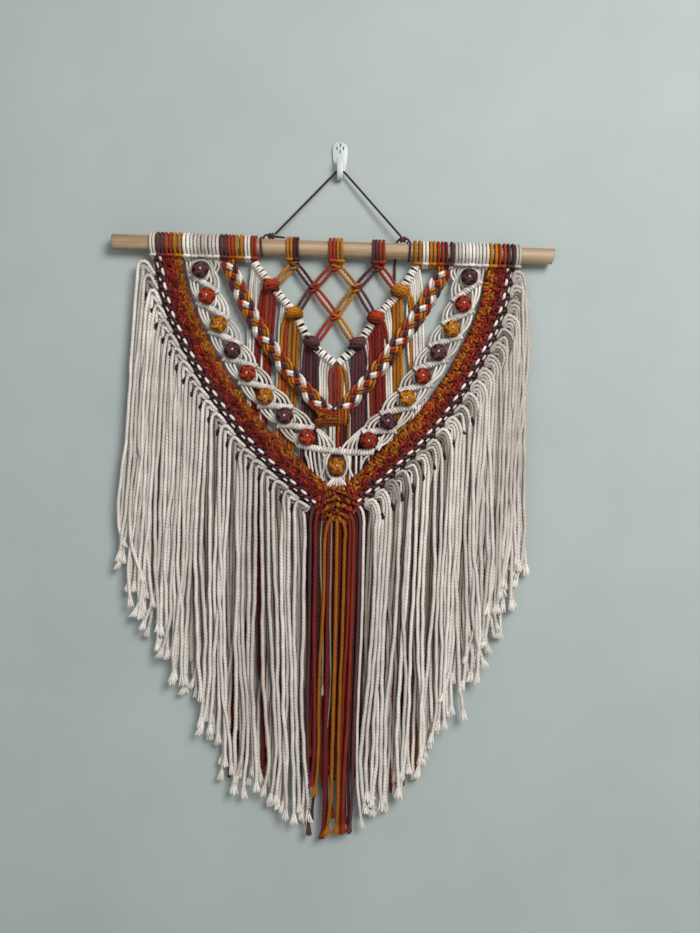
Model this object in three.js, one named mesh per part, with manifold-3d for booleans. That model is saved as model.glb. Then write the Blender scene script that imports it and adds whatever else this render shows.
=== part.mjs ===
// Macrame wall hanging on a wooden dowel, with the hanger cord and the wall hook that carry it.
// Millimetres, +Z up. The wall is the plane y = 0 and the front faces -Y. The origin is the middle of the
// back of the hook's plate. Places in the wall's plane are [x, z] pairs, and depths are distances from the
// wall, as [back, front].

import * as THREE from 'three';
import { mergeVertices } from 'three/addons/utils/BufferGeometryUtils.js';
import Module from 'manifold-3d';

const wasm = await Module();
wasm.setup();

// Driving dimensions
const GAP = 0.3;
const CORD = 4;
const DOWEL = { length: 457, radius: 8, chamfer: 0.8, x: -6.6, z: -102.9, depth: 12.5, slope: 0.034 };
const WRAP = { inner: 8.35, outer: 12.2 };
const HANGER = { radius: 1.3, sides: 8, loop: 11 };
const HOOK = {
  width: 16.5, top: 10.3, neck: -9, foot: -14, plate: 2.4,
  arm: 7, reach: 13, tip: -7.5, crook: -23.5, low: -29.5,
};
const BERRY = { across: 16.6, thick: 12 };

// Depths of the layers that hang in front of each other
const LAYER = {
  tassel: [1.5, 6.3],
  ridge: [1.5, 11.5],
  net: [7, 12],
  band: [7, 14.5],
  swag: [7, 15],
  front: [8, 18],
};

const COLOUR = {
  white: 0xd9d2c6,
  plum: 0x4a2a33,
  rust: 0xa63a1c,
  mustard: 0xb37316,
  burgundy: 0x7a2420,
  pine: 0xd9b98a,
  plastic: 0xeeeeec,
};

// Wraps of cord on the dowel: the section of the hanging that they carry, and where they start and end
const WRAPS = [
  { name: 'wraps_band_left', from: -195, to: -162.5, colour: 'burgundy' },
  { name: 'wraps_chain_left', from: -161.5, to: -124, colour: 'white' },
  { name: 'wraps_swag_left', from: -123.5, to: -85.5, colour: 'rust' },
  { name: 'wraps_net_left', from: -55, to: -42, colour: 'mustard' },
  { name: 'wraps_net_middle', from: -11.5, to: 4, colour: 'rust' },
  { name: 'wraps_net_right', from: 33, to: 46.5, colour: 'plum' },
  { name: 'wraps_swag_right', from: 75.5, to: 117, colour: 'rust' },
  { name: 'wraps_chain_right', from: 117.5, to: 153, colour: 'white' },
  { name: 'wraps_band_right', from: 153.5, to: 186, colour: 'burgundy' },
];

// The seam between the coloured band and its plum and white edging, from the dowel to the middle knot
const SEAM = {
  left: [[-186, -108], [-177, -155], [-160, -197], [-130, -250], [-92, -300.5], [-48.5, -343], [-26, -364]],
  right: [[175, -113], [166.5, -162], [149.5, -204], [120, -256], [82.5, -302.5], [38.5, -344], [19, -363]],
};
const BAND = { inner: 20.5, seam: 0.8, edging: 9.5 };
const MIDDLE_KNOT = [
  [-12.5, -349], [-3.5, -346], [5.5, -348], [22, -370], [15, -390], [-22, -390], [-29, -371],
];

// Berry knots down the white chain, the last one at its foot
const CHAIN = { half: 14.7, wave: 0.9, rise: 16, meet: [-4, -318] };
const CHAIN_BERRIES = {
  left: [
    { x: -143.5, z: -125, colour: 'plum' },
    { x: -136.5, z: -152, colour: 'rust' },
    { x: -124.5, z: -181, colour: 'mustard' },
    { x: -110.5, z: -208, colour: 'plum' },
    { x: -95, z: -231.5, colour: 'rust' },
    { x: -76.5, z: -255, colour: 'mustard' },
    { x: -56.5, z: -275, colour: 'plum' },
    { x: -33.5, z: -297, colour: 'rust' },
  ],
  right: [
    { x: 133, z: -132.5, colour: 'plum' },
    { x: 126.5, z: -160.5, colour: 'rust' },
    { x: 115, z: -186, colour: 'mustard' },
    { x: 101, z: -210, colour: 'plum' },
    { x: 85, z: -234.5, colour: 'rust' },
    { x: 69, z: -257, colour: 'mustard' },
    { x: 49.5, z: -281, colour: 'plum' },
    { x: 29.5, z: -300.5, colour: 'rust' },
  ],
  foot: { x: -3.5, z: -326.5, colour: 'mustard' },
};
// Foot of the chain: the ridge across it, and the cords from there to behind the band
const FOOT = [[-39, -305.5], [-4, -308], [35, -311], [35, -340], [-4, -352], [-39, -340]];

// The braided swag, from the dowel through its lowest point and back up
const SWAG = { half: 8.5, wave: 1.2, waves: 22 };
const SWAG_LINE = [
  [-112, -114], [-104.5, -140], [-87, -181], [-64, -219], [-38, -243], [-20, -266], [-7, -274],
  [5, -271], [21.5, -246], [47.5, -215], [74.5, -174], [96, -142], [104, -119],
];

// The V: its white ridge, the berry knots on it and the tassels that hang from them
const RIDGE = {
  half: 4.6,
  left: [[-87, -118], [-70.5, -140.5], [-47, -169.5], [-29.5, -200], [-4, -223]],
  right: [[79.5, -119], [61.5, -146.5], [37, -174], [18, -201], [-4, -223]],
};
const V_BERRIES = [
  { side: 'left', x: -70.5, z: -140.5, colour: 'rust', foot: -655 },
  { side: 'left', x: -47, z: -169.5, colour: 'mustard', foot: -640 },
  { side: 'left', x: -29.5, z: -200, colour: 'plum', foot: -650 },
  { side: 'right', x: 61.5, z: -146.5, colour: 'mustard', foot: -655 },
  { side: 'right', x: 37, z: -174, colour: 'rust', foot: -660 },
  { side: 'right', x: 18, z: -201, colour: 'plum', foot: -645 },
];
const TASSEL_WIDTH = 13.5;
// White cords of the ridge, between the tassels
const WHITE_DROPS = [
  { from: -87, to: -78, foot: -600 },
  { from: -63, to: -54.5, foot: -620 },
  { from: -22, to: -12, foot: -640 },
  { from: 1.5, to: 10.5, foot: -640 },
  { from: 44.5, to: 54, foot: -620 },
  { from: 69, to: 79, foot: -600 },
];
const MIDDLE_TASSEL = { from: -11.2, to: 0.8, foot: -650 };

// The open net: knots, and the pairs of cords between them or out to the ridge
const NET = { knot: 6.2, pair: 3.9 };
const NET_KNOTS = [[-47, -118], [-4.5, -119], [39, -120], [-27.5, -142.5], [17, -142.5], [-4.5, -171]];
const NET_PAIRS = [
  [[-47, -115], [-66, -140]], [[-47, -115], [-27.5, -142.5]], [[-4.5, -117], [-27.5, -142.5]],
  [[-4.5, -117], [17, -142.5]], [[39, -117], [17, -142.5]], [[39, -117], [58, -146]],
  [[-27.5, -142.5], [-43, -168]], [[-27.5, -142.5], [-4.5, -171]], [[17, -142.5], [-4.5, -171]],
  [[17, -142.5], [34, -172]], [[-4.5, -171], [-21, -202]], [[-4.5, -171], [13, -202]],
];

// White fringe: its outer side, then the places of its lowest ends, from the outside to the middle
const FRINGE = { teeth: 16, slit: 1, shoulder: 9, root: 16, ragged: 7 };
const FRINGE_SIDE = {
  left: [[-209, -128], [-216, -180], [-225, -290], [-231, -400]],
  right: [[192, -128], [194, -200], [195.5, -300], [196.5, -408]],
};
const FRINGE_ENDS = {
  left: [[-235, -402], [-217, -471], [-187, -523], [-150, -571], [-121, -655], [-78, -672], [-33.5, -693]],
  right: [[197, -410], [177, -495], [148, -547], [106, -613], [86, -662], [46, -670], [24.5, -694]],
};

// Route of the hanger cord, as [x, y, z]
const HANGER_ROUTE = [
  [-67, -12.1, -87.4], [-60, -11.5, -80], [-50, -10.6, -69.6], [-40, -9.7, -59.1], [-30, -8.8, -48.6],
  [-20, -7.9, -38.1], [-12, -7.1, -29.6], [-7, -6.6, -24.6], [-3.8, -6.4, -21.4], [0, -6.3, -20.4],
  [3.8, -6.4, -21.4], [7, -6.6, -24.6], [12, -7.1, -30.4], [20, -8, -39.6], [30, -9, -51.3],
  [40, -10, -63], [50, -11, -74.6], [62.7, -12.3, -89.5],
];
// Knots of the hanger on the dowel: where the loop goes round it, the knot's middle and the tail's places
const HANGER_KNOTS = [
  {
    name: 'hanger_knot_left',
    loop: -81.3,
    knot: [-71, -12.5, -89.4],
    tail: [[-64, -12.5, -90.3], [-57.5, -12.5, -91.3]],
  },
  {
    name: 'hanger_knot_right',
    loop: 72.4,
    knot: [64.8, -12.5, -93],
    tail: [[59.5, -6, -93], [57.5, -2.6, -101], [57, -2.6, -134]],
  },
];
const KNOT_REACH = [4.6, 3.4, 2.7];

// Front tassel under the middle knot: its cords bunch into these teeth
const FRONT_TASSEL = {
  top: -390.3, foot: -704, from: [-27, 19.5], to: [-32, 22.5], teeth: 6, slit: 1, root: 14,
};

// Shape helpers
function toManifold(geometry) {
  const bare = geometry.clone();
  bare.deleteAttribute('normal');
  bare.deleteAttribute('uv');
  const merged = mergeVertices(bare, 1e-4);
  const vertProperties = merged.attributes.position.array;
  const triVerts = new Uint32Array(merged.index.array);
  return new wasm.Manifold(new wasm.Mesh({ numProp: 3, vertProperties, triVerts }));
}

function toGeometry(manifold) {
  const { vertProperties, triVerts } = manifold.getMesh();
  const geometry = new THREE.BufferGeometry();
  geometry.setAttribute('position', new THREE.BufferAttribute(vertProperties, 3));
  geometry.setIndex(new THREE.BufferAttribute(triVerts, 1));
  geometry.computeVertexNormals();
  return geometry;
}

// A flat plate of an outline in the wall's plane, between two depths
function plate(outline, [back, front]) {
  const shape = new THREE.Shape(outline.map(([x, z]) => new THREE.Vector2(x, z)));
  const geometry = new THREE.ExtrudeGeometry(shape, { depth: front - back, bevelEnabled: false });
  geometry.rotateX(Math.PI / 2);
  geometry.translate(0, -back, 0);
  return geometry;
}

function smoothLine(points) {
  const places = points.map(([x, z]) => new THREE.Vector3(x, 0, z));
  return new THREE.CatmullRomCurve3(places, false, 'centripetal');
}

// A point at share t of a line, moved off it by a distance towards the middle of the hanging
function beside(line, t, distance) {
  const point = line.getPointAt(t);
  const along = line.getTangentAt(t);
  const inward = line.points.at(-1).x > line.points[0].x ? 1 : -1;
  return [point.x - inward * along.z * distance, point.z + inward * along.x * distance];
}

// A strip along a line, whose reaches to either side may change with the share t
function strip(points, inner, outer, steps, layer) {
  const line = smoothLine(points);
  const shares = Array.from({ length: steps + 1 }, (_, i) => i / steps);
  const near = shares.map((t) => beside(line, t, inner(t)));
  const far = shares.map((t) => beside(line, t, outer(t)));
  return plate([...near, ...far.reverse()], layer);
}

function straightStrip([x0, z0], [x1, z1], half, layer) {
  const length = Math.hypot(x1 - x0, z1 - z0);
  const dx = (-(z1 - z0) / length) * half;
  const dz = ((x1 - x0) / length) * half;
  return plate([[x0 + dx, z0 + dz], [x0 - dx, z0 - dz], [x1 - dx, z1 - dz], [x1 + dx, z1 + dz]], layer);
}

// An outline let out by the gap on every side, for outlines that bulge everywhere
function grown(outline) {
  const middleX = outline.reduce((sum, [x]) => sum + x, 0) / outline.length;
  const middleZ = outline.reduce((sum, [, z]) => sum + z, 0) / outline.length;
  return outline.map(([x, z]) => {
    const away = Math.hypot(x - middleX, z - middleZ);
    const share = 1 + (2 * GAP) / away;
    return [middleX + (x - middleX) * share, middleZ + (z - middleZ) * share];
  });
}

function block([x, z], half, layer) {
  return plate([[x - half, z - half], [x + half, z - half], [x + half, z + half], [x - half, z + half]], layer);
}

// A point at share t along a bent line of straight pieces
function alongBent(points, t) {
  const place = t * (points.length - 1);
  const i = Math.min(Math.floor(place), points.length - 2);
  const share = place - i;
  return points[i].map((value, k) => value + (points[i + 1][k] - value) * share);
}

// What turns about the dowel's axis: made along Y, then laid along the dowel
function aboutDowel(profile, segments) {
  const points = profile.map(([radius, along]) => new THREE.Vector2(radius, along));
  const geometry = new THREE.LatheGeometry(points, segments);
  geometry.rotateZ(-Math.PI / 2);
  geometry.rotateY(DOWEL.slope);
  geometry.translate(DOWEL.x, -DOWEL.depth, DOWEL.z);
  return geometry;
}

function sleeve(from, to, inner, outer, segments) {
  const start = from - DOWEL.x;
  const end = to - DOWEL.x;
  const profile = [[inner, start], [outer, start], [outer, end], [inner, end], [inner, start]];
  return aboutDowel(profile, segments);
}

function dowelHeight(x) {
  return DOWEL.z - (x - DOWEL.x) * Math.tan(DOWEL.slope);
}

function berryBall({ x, z }, seat) {
  const geometry = new THREE.SphereGeometry(0.5, 10, 7);
  geometry.scale(BERRY.across, BERRY.thick, BERRY.across);
  geometry.translate(x, -(seat + GAP + BERRY.thick / 2), z);
  return geometry;
}

// A round cord along a list of places
function tube(points, steps) {
  const { radius, sides } = HANGER;
  const section = new THREE.Shape(
    Array.from({ length: sides }, (_, i) => {
      const angle = (2 * Math.PI * i) / sides;
      return new THREE.Vector2(radius * Math.cos(angle), radius * Math.sin(angle));
    }),
  );
  const places = points.map((place) => new THREE.Vector3(...place));
  const extrudePath = new THREE.CatmullRomCurve3(places, false, 'centripetal');
  return new THREE.ExtrudeGeometry(section, { steps, extrudePath, bevelEnabled: false });
}

// Height of the V's ridge at a place from left to right
function ridgeHeight(x) {
  const line = x < RIDGE.left.at(-1)[0] ? RIDGE.left : RIDGE.right;
  const passed = line.findIndex(([ridgeX], i) => i > 0 && (line[0][0] - x) * (ridgeX - x) <= 0);
  const [x0, z0] = line[Math.max(passed, 1) - 1];
  const [x1, z1] = line[Math.max(passed, 1)];
  return z0 + ((z1 - z0) * (x - x0)) / (x1 - x0);
}

// Cords that hang side by side from the ridge, against the wall
function hangingStrip(from, to, foot) {
  return plate([[from, ridgeHeight(from)], [to, ridgeHeight(to)], [to, foot], [from, foot]], LAYER.tassel);
}

function clearOf(geometry, ...spaces) {
  return toGeometry(spaces.reduce((left, space) => left.subtract(space), toManifold(geometry)));
}

// Spaces that pieces need, which their neighbours stay clear of
const EVERY_DEPTH = [-1, 40];
const wrapSpace = toManifold(
  aboutDowel([[0, -260], [WRAP.outer + GAP, -260], [WRAP.outer + GAP, 260], [0, 260]], 24),
);
const bandSpace = Object.fromEntries(['left', 'right'].map((side) => [
  side,
  toManifold(strip(SEAM[side], () => BAND.inner + GAP, () => -BAND.edging - GAP, 22, EVERY_DEPTH)),
]));
const ridgeSpace = wasm.Manifold.union(['left', 'right'].map((side) => (
  toManifold(strip(RIDGE[side], () => RIDGE.half + GAP, () => -RIDGE.half - GAP, 10, EVERY_DEPTH))
)));
const middleSpace = toManifold(plate(grown(MIDDLE_KNOT), EVERY_DEPTH));
const footSpace = toManifold(plate(grown(FOOT), EVERY_DEPTH));

const hanging = new THREE.Group();

function add(name, geometry, colour, roughness = 0.95) {
  const material = new THREE.MeshStandardMaterial({ color: COLOUR[colour], roughness, metalness: 0 });
  const mesh = new THREE.Mesh(geometry, material);
  mesh.name = name;
  hanging.add(mesh);
}

// Dowel, turned with a small chamfer at each end
function addDowel() {
  const half = DOWEL.length / 2;
  const { radius, chamfer } = DOWEL;
  const profile = [
    [0, -half], [radius - chamfer, -half], [radius, -half + chamfer],
    [radius, half - chamfer], [radius - chamfer, half], [0, half],
  ];
  add('dowel', aboutDowel(profile, 24), 'pine', 0.6);
}

// Wall hook: a plate with a round top, and an arm that comes forward and turns up in front of the cord
function addHook() {
  const half = HOOK.width / 2;
  const outline = new THREE.Shape();
  outline.moveTo(-half + 1, HOOK.neck);
  outline.lineTo(-half, HOOK.top - half);
  outline.absarc(0, HOOK.top - half, half, Math.PI, 0, true);
  outline.lineTo(half - 1, HOOK.neck);
  outline.lineTo(HOOK.arm / 2, HOOK.foot);
  outline.lineTo(-HOOK.arm / 2, HOOK.foot);
  const flat = { depth: HOOK.plate, bevelEnabled: false, curveSegments: 12 };
  const back = new THREE.ExtrudeGeometry(outline, flat);
  back.rotateX(Math.PI / 2);

  // The arm's side view, drawn as [depth, z] and then turned to face sideways
  const arm = new THREE.Shape();
  arm.moveTo(0, HOOK.foot + 2);
  arm.lineTo(0, HOOK.low + 7);
  arm.quadraticCurveTo(0, HOOK.low, 6.3, HOOK.low);
  arm.quadraticCurveTo(HOOK.reach, HOOK.low, HOOK.reach, HOOK.low + 8);
  arm.lineTo(HOOK.reach - 1.2, HOOK.tip);
  arm.lineTo(HOOK.reach - 3, HOOK.tip);
  arm.lineTo(HOOK.reach - 3.2, HOOK.crook + 4);
  arm.quadraticCurveTo(HOOK.reach - 3.4, HOOK.crook, 6.3, HOOK.crook);
  arm.quadraticCurveTo(HOOK.plate, HOOK.crook, HOOK.plate, HOOK.crook + 5);
  arm.lineTo(HOOK.plate, HOOK.foot + 2);
  const wide = { depth: HOOK.arm, bevelEnabled: false, curveSegments: 5 };
  const armSolid = new THREE.ExtrudeGeometry(arm, wide);
  armSolid.rotateX(Math.PI / 2);
  armSolid.rotateZ(-Math.PI / 2);
  armSolid.translate(HOOK.arm / 2, 0, 0);
  add('wall_hook', toGeometry(toManifold(back).add(toManifold(armSolid))), 'plastic', 0.35);
}

// Hanger cord, taut from the knot left of the middle, over the hook's crook and down to the right knot
function addHanger() {
  add('hanger_cord', tube(HANGER_ROUTE, 32), 'plum');
}

// A knot of the hanger: its loop round the dowel, the knot itself, and the tail that is left over
function addHangerKnot({ name, loop, knot, tail }) {
  const ring = sleeve(loop - HANGER.radius, loop + HANGER.radius, WRAP.inner, HANGER.loop, 16);
  const lump = new THREE.SphereGeometry(1, 10, 7);
  lump.scale(...KNOT_REACH);
  lump.translate(...knot);
  const rise = dowelHeight(loop) + HANGER.loop - HANGER.radius;
  const lead = [[loop, -DOWEL.depth, rise], [(loop + knot[0]) / 2, -DOWEL.depth, knot[2]], knot];
  const parts = [ring, lump, tube(lead, 3), tube([knot, ...tail], 6)].map(toManifold);
  add(name, toGeometry(wasm.Manifold.union(parts)), 'plum');
}

// Wraps of cord on the dowel, a sleeve for each section of the hanging
function addWraps() {
  for (const { name, from, to, colour } of WRAPS) {
    add(name, sleeve(from, to, WRAP.inner, WRAP.outer, 16), colour);
  }
}

// Band of dense hitching and the rows of plum and white along its outer edge
function addBands() {
  for (const side of ['left', 'right']) {
    const band = strip(SEAM[side], () => BAND.inner, () => BAND.seam, 22, LAYER.band);
    const edging = strip(SEAM[side], () => BAND.seam - GAP, () => -BAND.edging, 22, LAYER.band);
    add(`band_${side}`, clearOf(band, wrapSpace, middleSpace), 'rust');
    add(`edging_${side}`, clearOf(edging, wrapSpace, middleSpace), 'plum');
  }
  add('middle_knot', plate(MIDDLE_KNOT, LAYER.front), 'mustard');
}

// White chain of knots, a little narrower between its berry knots
function addChains() {
  for (const side of ['left', 'right']) {
    const berries = CHAIN_BERRIES[side];
    const top = berries[0];
    const line = [[top.x, top.z + CHAIN.rise], ...berries.map(({ x, z }) => [x, z]), CHAIN.meet];
    const half = (t) => CHAIN.half + CHAIN.wave * Math.cos(2 * Math.PI * (t * (berries.length + 0.4) - 0.5));
    const chain = strip(line, half, (t) => -half(t), 34, LAYER.net);
    const outwards = side === 'left' ? -1 : 1;
    const near = CHAIN.meet[0] + (outwards * GAP) / 2;
    const far = near - outwards * 60;
    const otherHalf = toManifold(plate([[near, -200], [near, -400], [far, -400], [far, -200]], EVERY_DEPTH));
    add(`chain_${side}`, clearOf(chain, wrapSpace, footSpace, otherHalf), 'white');
    berries.forEach((berry, i) => {
      add(`chain_berry_${side}_${i + 1}`, berryBall(berry, LAYER.net[1]), berry.colour);
    });
  }
  add('chain_foot', clearOf(plate(FOOT, LAYER.net), bandSpace.left, bandSpace.right, middleSpace), 'white');
  add('chain_berry_foot', berryBall(CHAIN_BERRIES.foot, LAYER.net[1]), CHAIN_BERRIES.foot.colour);
}

// Braided swag, its edges scalloped by the bundles that cross in it
function addSwag() {
  const reach = (t) => SWAG.half + SWAG.wave * Math.sin(2 * Math.PI * SWAG.waves * t);
  const swag = strip(SWAG_LINE, reach, (t) => -reach(1 - t), 60, LAYER.swag);
  add('swag', clearOf(swag, wrapSpace), 'rust');
}

// White ridge of the V with the white cords that hang from it, its berry knots and their tassels
function addV() {
  const sides = ['left', 'right'];
  const { half: reach } = RIDGE;
  const ridges = sides.map((side) => strip(RIDGE[side], () => reach, () => -reach, 10, LAYER.ridge));
  const drops = WHITE_DROPS.map(({ from, to, foot }) => hangingStrip(from, to, foot));
  const joined = wasm.Manifold.union([...ridges, ...drops].map(toManifold));
  add('v_ridge', toGeometry(joined.subtract(wrapSpace)), 'white');
  for (const side of sides) {
    V_BERRIES.filter((berry) => berry.side === side).forEach((berry, i) => {
      const half = TASSEL_WIDTH / 2;
      const tassel = hangingStrip(berry.x - half, berry.x + half, berry.foot);
      add(`v_berry_${side}_${i + 1}`, berryBall(berry, LAYER.ridge[1]), berry.colour);
      add(`v_tassel_${side}_${i + 1}`, clearOf(tassel, ridgeSpace), berry.colour);
    });
  }
  const { from, to, foot } = MIDDLE_TASSEL;
  add('v_tassel_middle', clearOf(hangingStrip(from, to, foot), ridgeSpace), 'mustard');
}

// Open net of paired cords between the dowel and the V
function addNet() {
  const knots = NET_KNOTS.map((place) => block(place, NET.knot, LAYER.net));
  const pairs = NET_PAIRS.map(([start, end]) => straightStrip(start, end, NET.pair, LAYER.net));
  const joined = wasm.Manifold.union([...knots, ...pairs].map(toManifold));
  add('open_net', toGeometry(joined.subtract(wrapSpace).subtract(ridgeSpace)), 'rust');
}

// White fringe: one comb along the edging, cut into teeth from the hem up
function addFringe(side) {
  const seam = smoothLine(SEAM[side]);
  const outwards = side === 'left' ? -1 : 1;
  const edge = Array.from({ length: 25 }, (_, i) => beside(seam, i / 24, -BAND.edging - GAP));
  const outline = [...edge];
  for (let k = FRINGE.teeth; k >= 0; k -= 1) {
    const share = k / FRINGE.teeth;
    const [x, z] = alongBent(FRINGE_ENDS[side], share);
    const ragged = FRINGE.ragged * Math.sin(2.4 * k);
    if (k === 0 || k === FRINGE.teeth) {
      outline.push([x, z + ragged]);
    } else {
      const [rootX, rootZ] = beside(seam, share, -BAND.edging - GAP - FRINGE.shoulder);
      const half = (outwards * FRINGE.slit) / 2;
      outline.push([x - half, z + ragged], [rootX, rootZ - FRINGE.root], [x + half, z - ragged]);
    }
  }
  outline.push(...FRINGE_SIDE[side].toReversed());
  add(`fringe_${side}`, clearOf(plate(outline, LAYER.band), wrapSpace, middleSpace), 'white');
}

// Front tassel under the middle knot, parted into bunches of cords
function addFrontTassel() {
  const { top, foot, from, to, teeth, slit, root } = FRONT_TASSEL;
  const across = ([left, right], share) => left + (right - left) * share;
  const outline = [[from[0], top], [from[1], top]];
  for (let k = teeth; k >= 0; k -= 1) {
    const share = k / teeth;
    const x = across(to, share);
    const z = foot - 6 * Math.sin(Math.PI * share);
    if (k > 0 && k < teeth) {
      outline.push([x + slit / 2, z], [across(from, share), top - root], [x - slit / 2, z]);
    } else {
      outline.push([x, z]);
    }
  }
  add('front_tassel', plate(outline, LAYER.front), 'mustard');
}

addDowel();
addHook();
addHanger();
HANGER_KNOTS.forEach(addHangerKnot);
addWraps();
addBands();
addChains();
addSwag();
addV();
addNet();
addFringe('left');
addFringe('right');
addFrontTassel();

export default hanging;
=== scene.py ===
"""Looks of the macrame wall hanging: cords, knots, tassels and fringe, the dowel, the hanger and the hook.

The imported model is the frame. Places here are in millimetres, as (x, depth from the wall, z), and are turned
into the frame's metres when a mesh is made. The wall is the plane y = 0 and the front faces -Y.
"""
import math

import bmesh
import bpy
import numpy as np
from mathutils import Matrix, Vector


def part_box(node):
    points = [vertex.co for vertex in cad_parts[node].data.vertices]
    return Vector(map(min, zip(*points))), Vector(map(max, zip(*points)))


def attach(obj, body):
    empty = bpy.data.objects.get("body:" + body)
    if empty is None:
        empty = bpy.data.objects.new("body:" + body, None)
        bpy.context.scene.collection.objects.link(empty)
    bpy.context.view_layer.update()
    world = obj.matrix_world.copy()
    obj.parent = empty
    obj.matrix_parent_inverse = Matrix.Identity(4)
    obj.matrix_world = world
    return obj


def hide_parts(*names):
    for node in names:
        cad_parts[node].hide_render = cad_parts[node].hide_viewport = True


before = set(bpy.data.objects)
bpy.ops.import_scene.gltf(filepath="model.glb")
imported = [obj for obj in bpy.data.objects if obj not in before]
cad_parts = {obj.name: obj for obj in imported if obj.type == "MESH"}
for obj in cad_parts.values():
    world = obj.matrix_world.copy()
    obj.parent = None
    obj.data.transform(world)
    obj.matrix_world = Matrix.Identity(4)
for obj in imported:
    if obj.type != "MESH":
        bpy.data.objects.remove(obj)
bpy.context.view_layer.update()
draws = np.random.default_rng(23)

MM = 0.001
FRONT = np.array([1.0, -1.0, 1.0])  # turns a depth from the wall into a place along Y


# ---------------------------------------------------------------- sizes, in millimetres

CORD = 1.85       # radius of the knotted cord
SIDES = 6         # points round a cord: three plies and the grooves between them
GROOVE = 0.87     # reach of a groove, as a share of the radius
SOFT_GROOVE = 0.94  # the same for the softer white cord
LAY = 7.0         # one turn of the plies, in radii
SOFT_LAY = 11.0
YARNS = 2         # yarns whose windings lie side by side on a cord
YARN_TURNS = 5.0  # windings passed in a length of one girth of the cord
TIP_LENGTH = 90   # stretch at the end of a cord over which its tone may change

DOWEL = {"length": 457, "radius": 8, "x": -6.6, "z": -102.9, "depth": 12.5, "slope": 0.034}

# Lark's heads on the dowel: the colour, the left edge of the first one, how many, and their pitch
HEADS = {
    "wraps_band_left": [("white", -195.6, 1, 6.2), ("plum", -188.8, 1, 8.2), ("rust", -180.3, 1, 8.4),
                        ("mustard", -171.4, 1, 8.6)],
    "wraps_chain_left": [("white", -161.5, 5, 7.55)],
    "wraps_swag_left": [("plum", -123.6, 1, 8.0), ("rust", -115.2, 1, 6.8), ("mustard", -108.0, 1, 9.0),
                        ("white", -98.2, 1, 6.4), ("rust", -91.6, 1, 6.6)],
    "wraps_net_left": [("mustard", -55.2, 1, 6.7), ("plum", -48.5, 1, 6.7)],
    "wraps_net_middle": [("rust", -11.6, 1, 7.4), ("mustard", -4.0, 1, 7.8)],
    "wraps_net_right": [("plum", 32.8, 1, 6.8), ("rust", 39.7, 1, 7.0)],
    "wraps_swag_right": [("mustard", 75.5, 1, 8.8), ("white", 84.6, 1, 6.6), ("mustard", 91.4, 1, 7.8),
                         ("rust", 99.4, 1, 8.2), ("plum", 107.8, 1, 9.0)],
    "wraps_chain_right": [("white", 117.6, 5, 7.1)],
    "wraps_band_right": [("mustard", 153.4, 1, 8.6), ("rust", 162.2, 1, 9.0), ("plum", 171.4, 1, 8.2),
                         ("white", 179.8, 1, 6.2)],
}

# The seam between the coloured band and its edging, as [x, z]
SEAM = {
    "left": [[-186, -108], [-177, -155], [-160, -197], [-130, -250], [-92, -300.5], [-48.5, -343],
             [-26, -364]],
    "right": [[175, -113], [166.5, -162], [149.5, -204], [120, -256], [82.5, -302.5], [38.5, -344],
              [19, -363]],
}
# White dashes along a seam, which are also groups of fringe cords: distance of the first, and how many
DASHES = {"left": (3.0, 21), "right": (10.0, 21)}

# Places where the white strand of the swag crosses over its middle, and the line's two ends
SWAG_LINE = {
    "left": [[-117.5, -112], [-113.5, -121.4], [-97, -160.3], [-76.5, -196.9], [-51.3, -231.2],
             [-22.7, -262.6], [-13, -272]],
    "right": [[112, -115], [105, -129.1], [85.3, -164.4], [60.9, -198.6], [34.4, -233.2], [6.2, -265.2],
              [0, -273]],
}
SWAG = {"reach": 5.4, "thick": 2.6, "depth": 11.2}

RIDGE = {
    "left": [[-89, -116], [-70.5, -140.5], [-47, -169.5], [-29.5, -200], [-5.5, -221]],
    "right": [[80, -118], [61.5, -146.5], [37, -174], [18, -201], [-2.5, -221]],
}

NET_PAIRS = [
    ([-49, -119], [-66, -138], "mustard"), ([-45, -119], [-27.5, -142.5], "plum"),
    ([-7, -120], [-27.5, -142.5], "rust"), ([-2, -120], [17, -142.5], "mustard"),
    ([37, -121], [17, -142.5], "plum"), ([41, -121], [57, -143], "rust"),
    ([-29.5, -143.5], [-44, -167], "plum"), ([-25.5, -143.5], [-4.5, -171], "rust"),
    ([15, -143.5], [-4.5, -171], "mustard"), ([19, -143.5], [35, -171], "plum"),
    ([-6.5, -172], [-24, -197], "rust"), ([-2.5, -172], [14, -198], "mustard"),
]
NET_KNOTS = [
    ([-47, -119], "mustard", "plum"), ([-4.5, -120], "rust", "mustard"), ([39, -121], "plum", "rust"),
    ([-27.5, -142.5], "rust", "plum"), ([17, -142.5], "mustard", "plum"), ([-4.5, -171], "rust", "mustard"),
]

# White fringe: where its ends lie, from the outside to the middle, as [x, z]
FRINGE_ENDS = {
    "left": [[-225, -400], [-210, -456], [-183, -504], [-153, -555], [-117, -640], [-75, -666], [-36, -688]],
    "right": [[189, -404], [171, -465], [148, -508], [110, -578], [82, -626], [52, -664], [24.5, -680]],
}

# Where the outermost and the innermost cord of the fringe start to hang
FRINGE_TOPS = {"left": (-207, -43), "right": (196, 38)}

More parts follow.
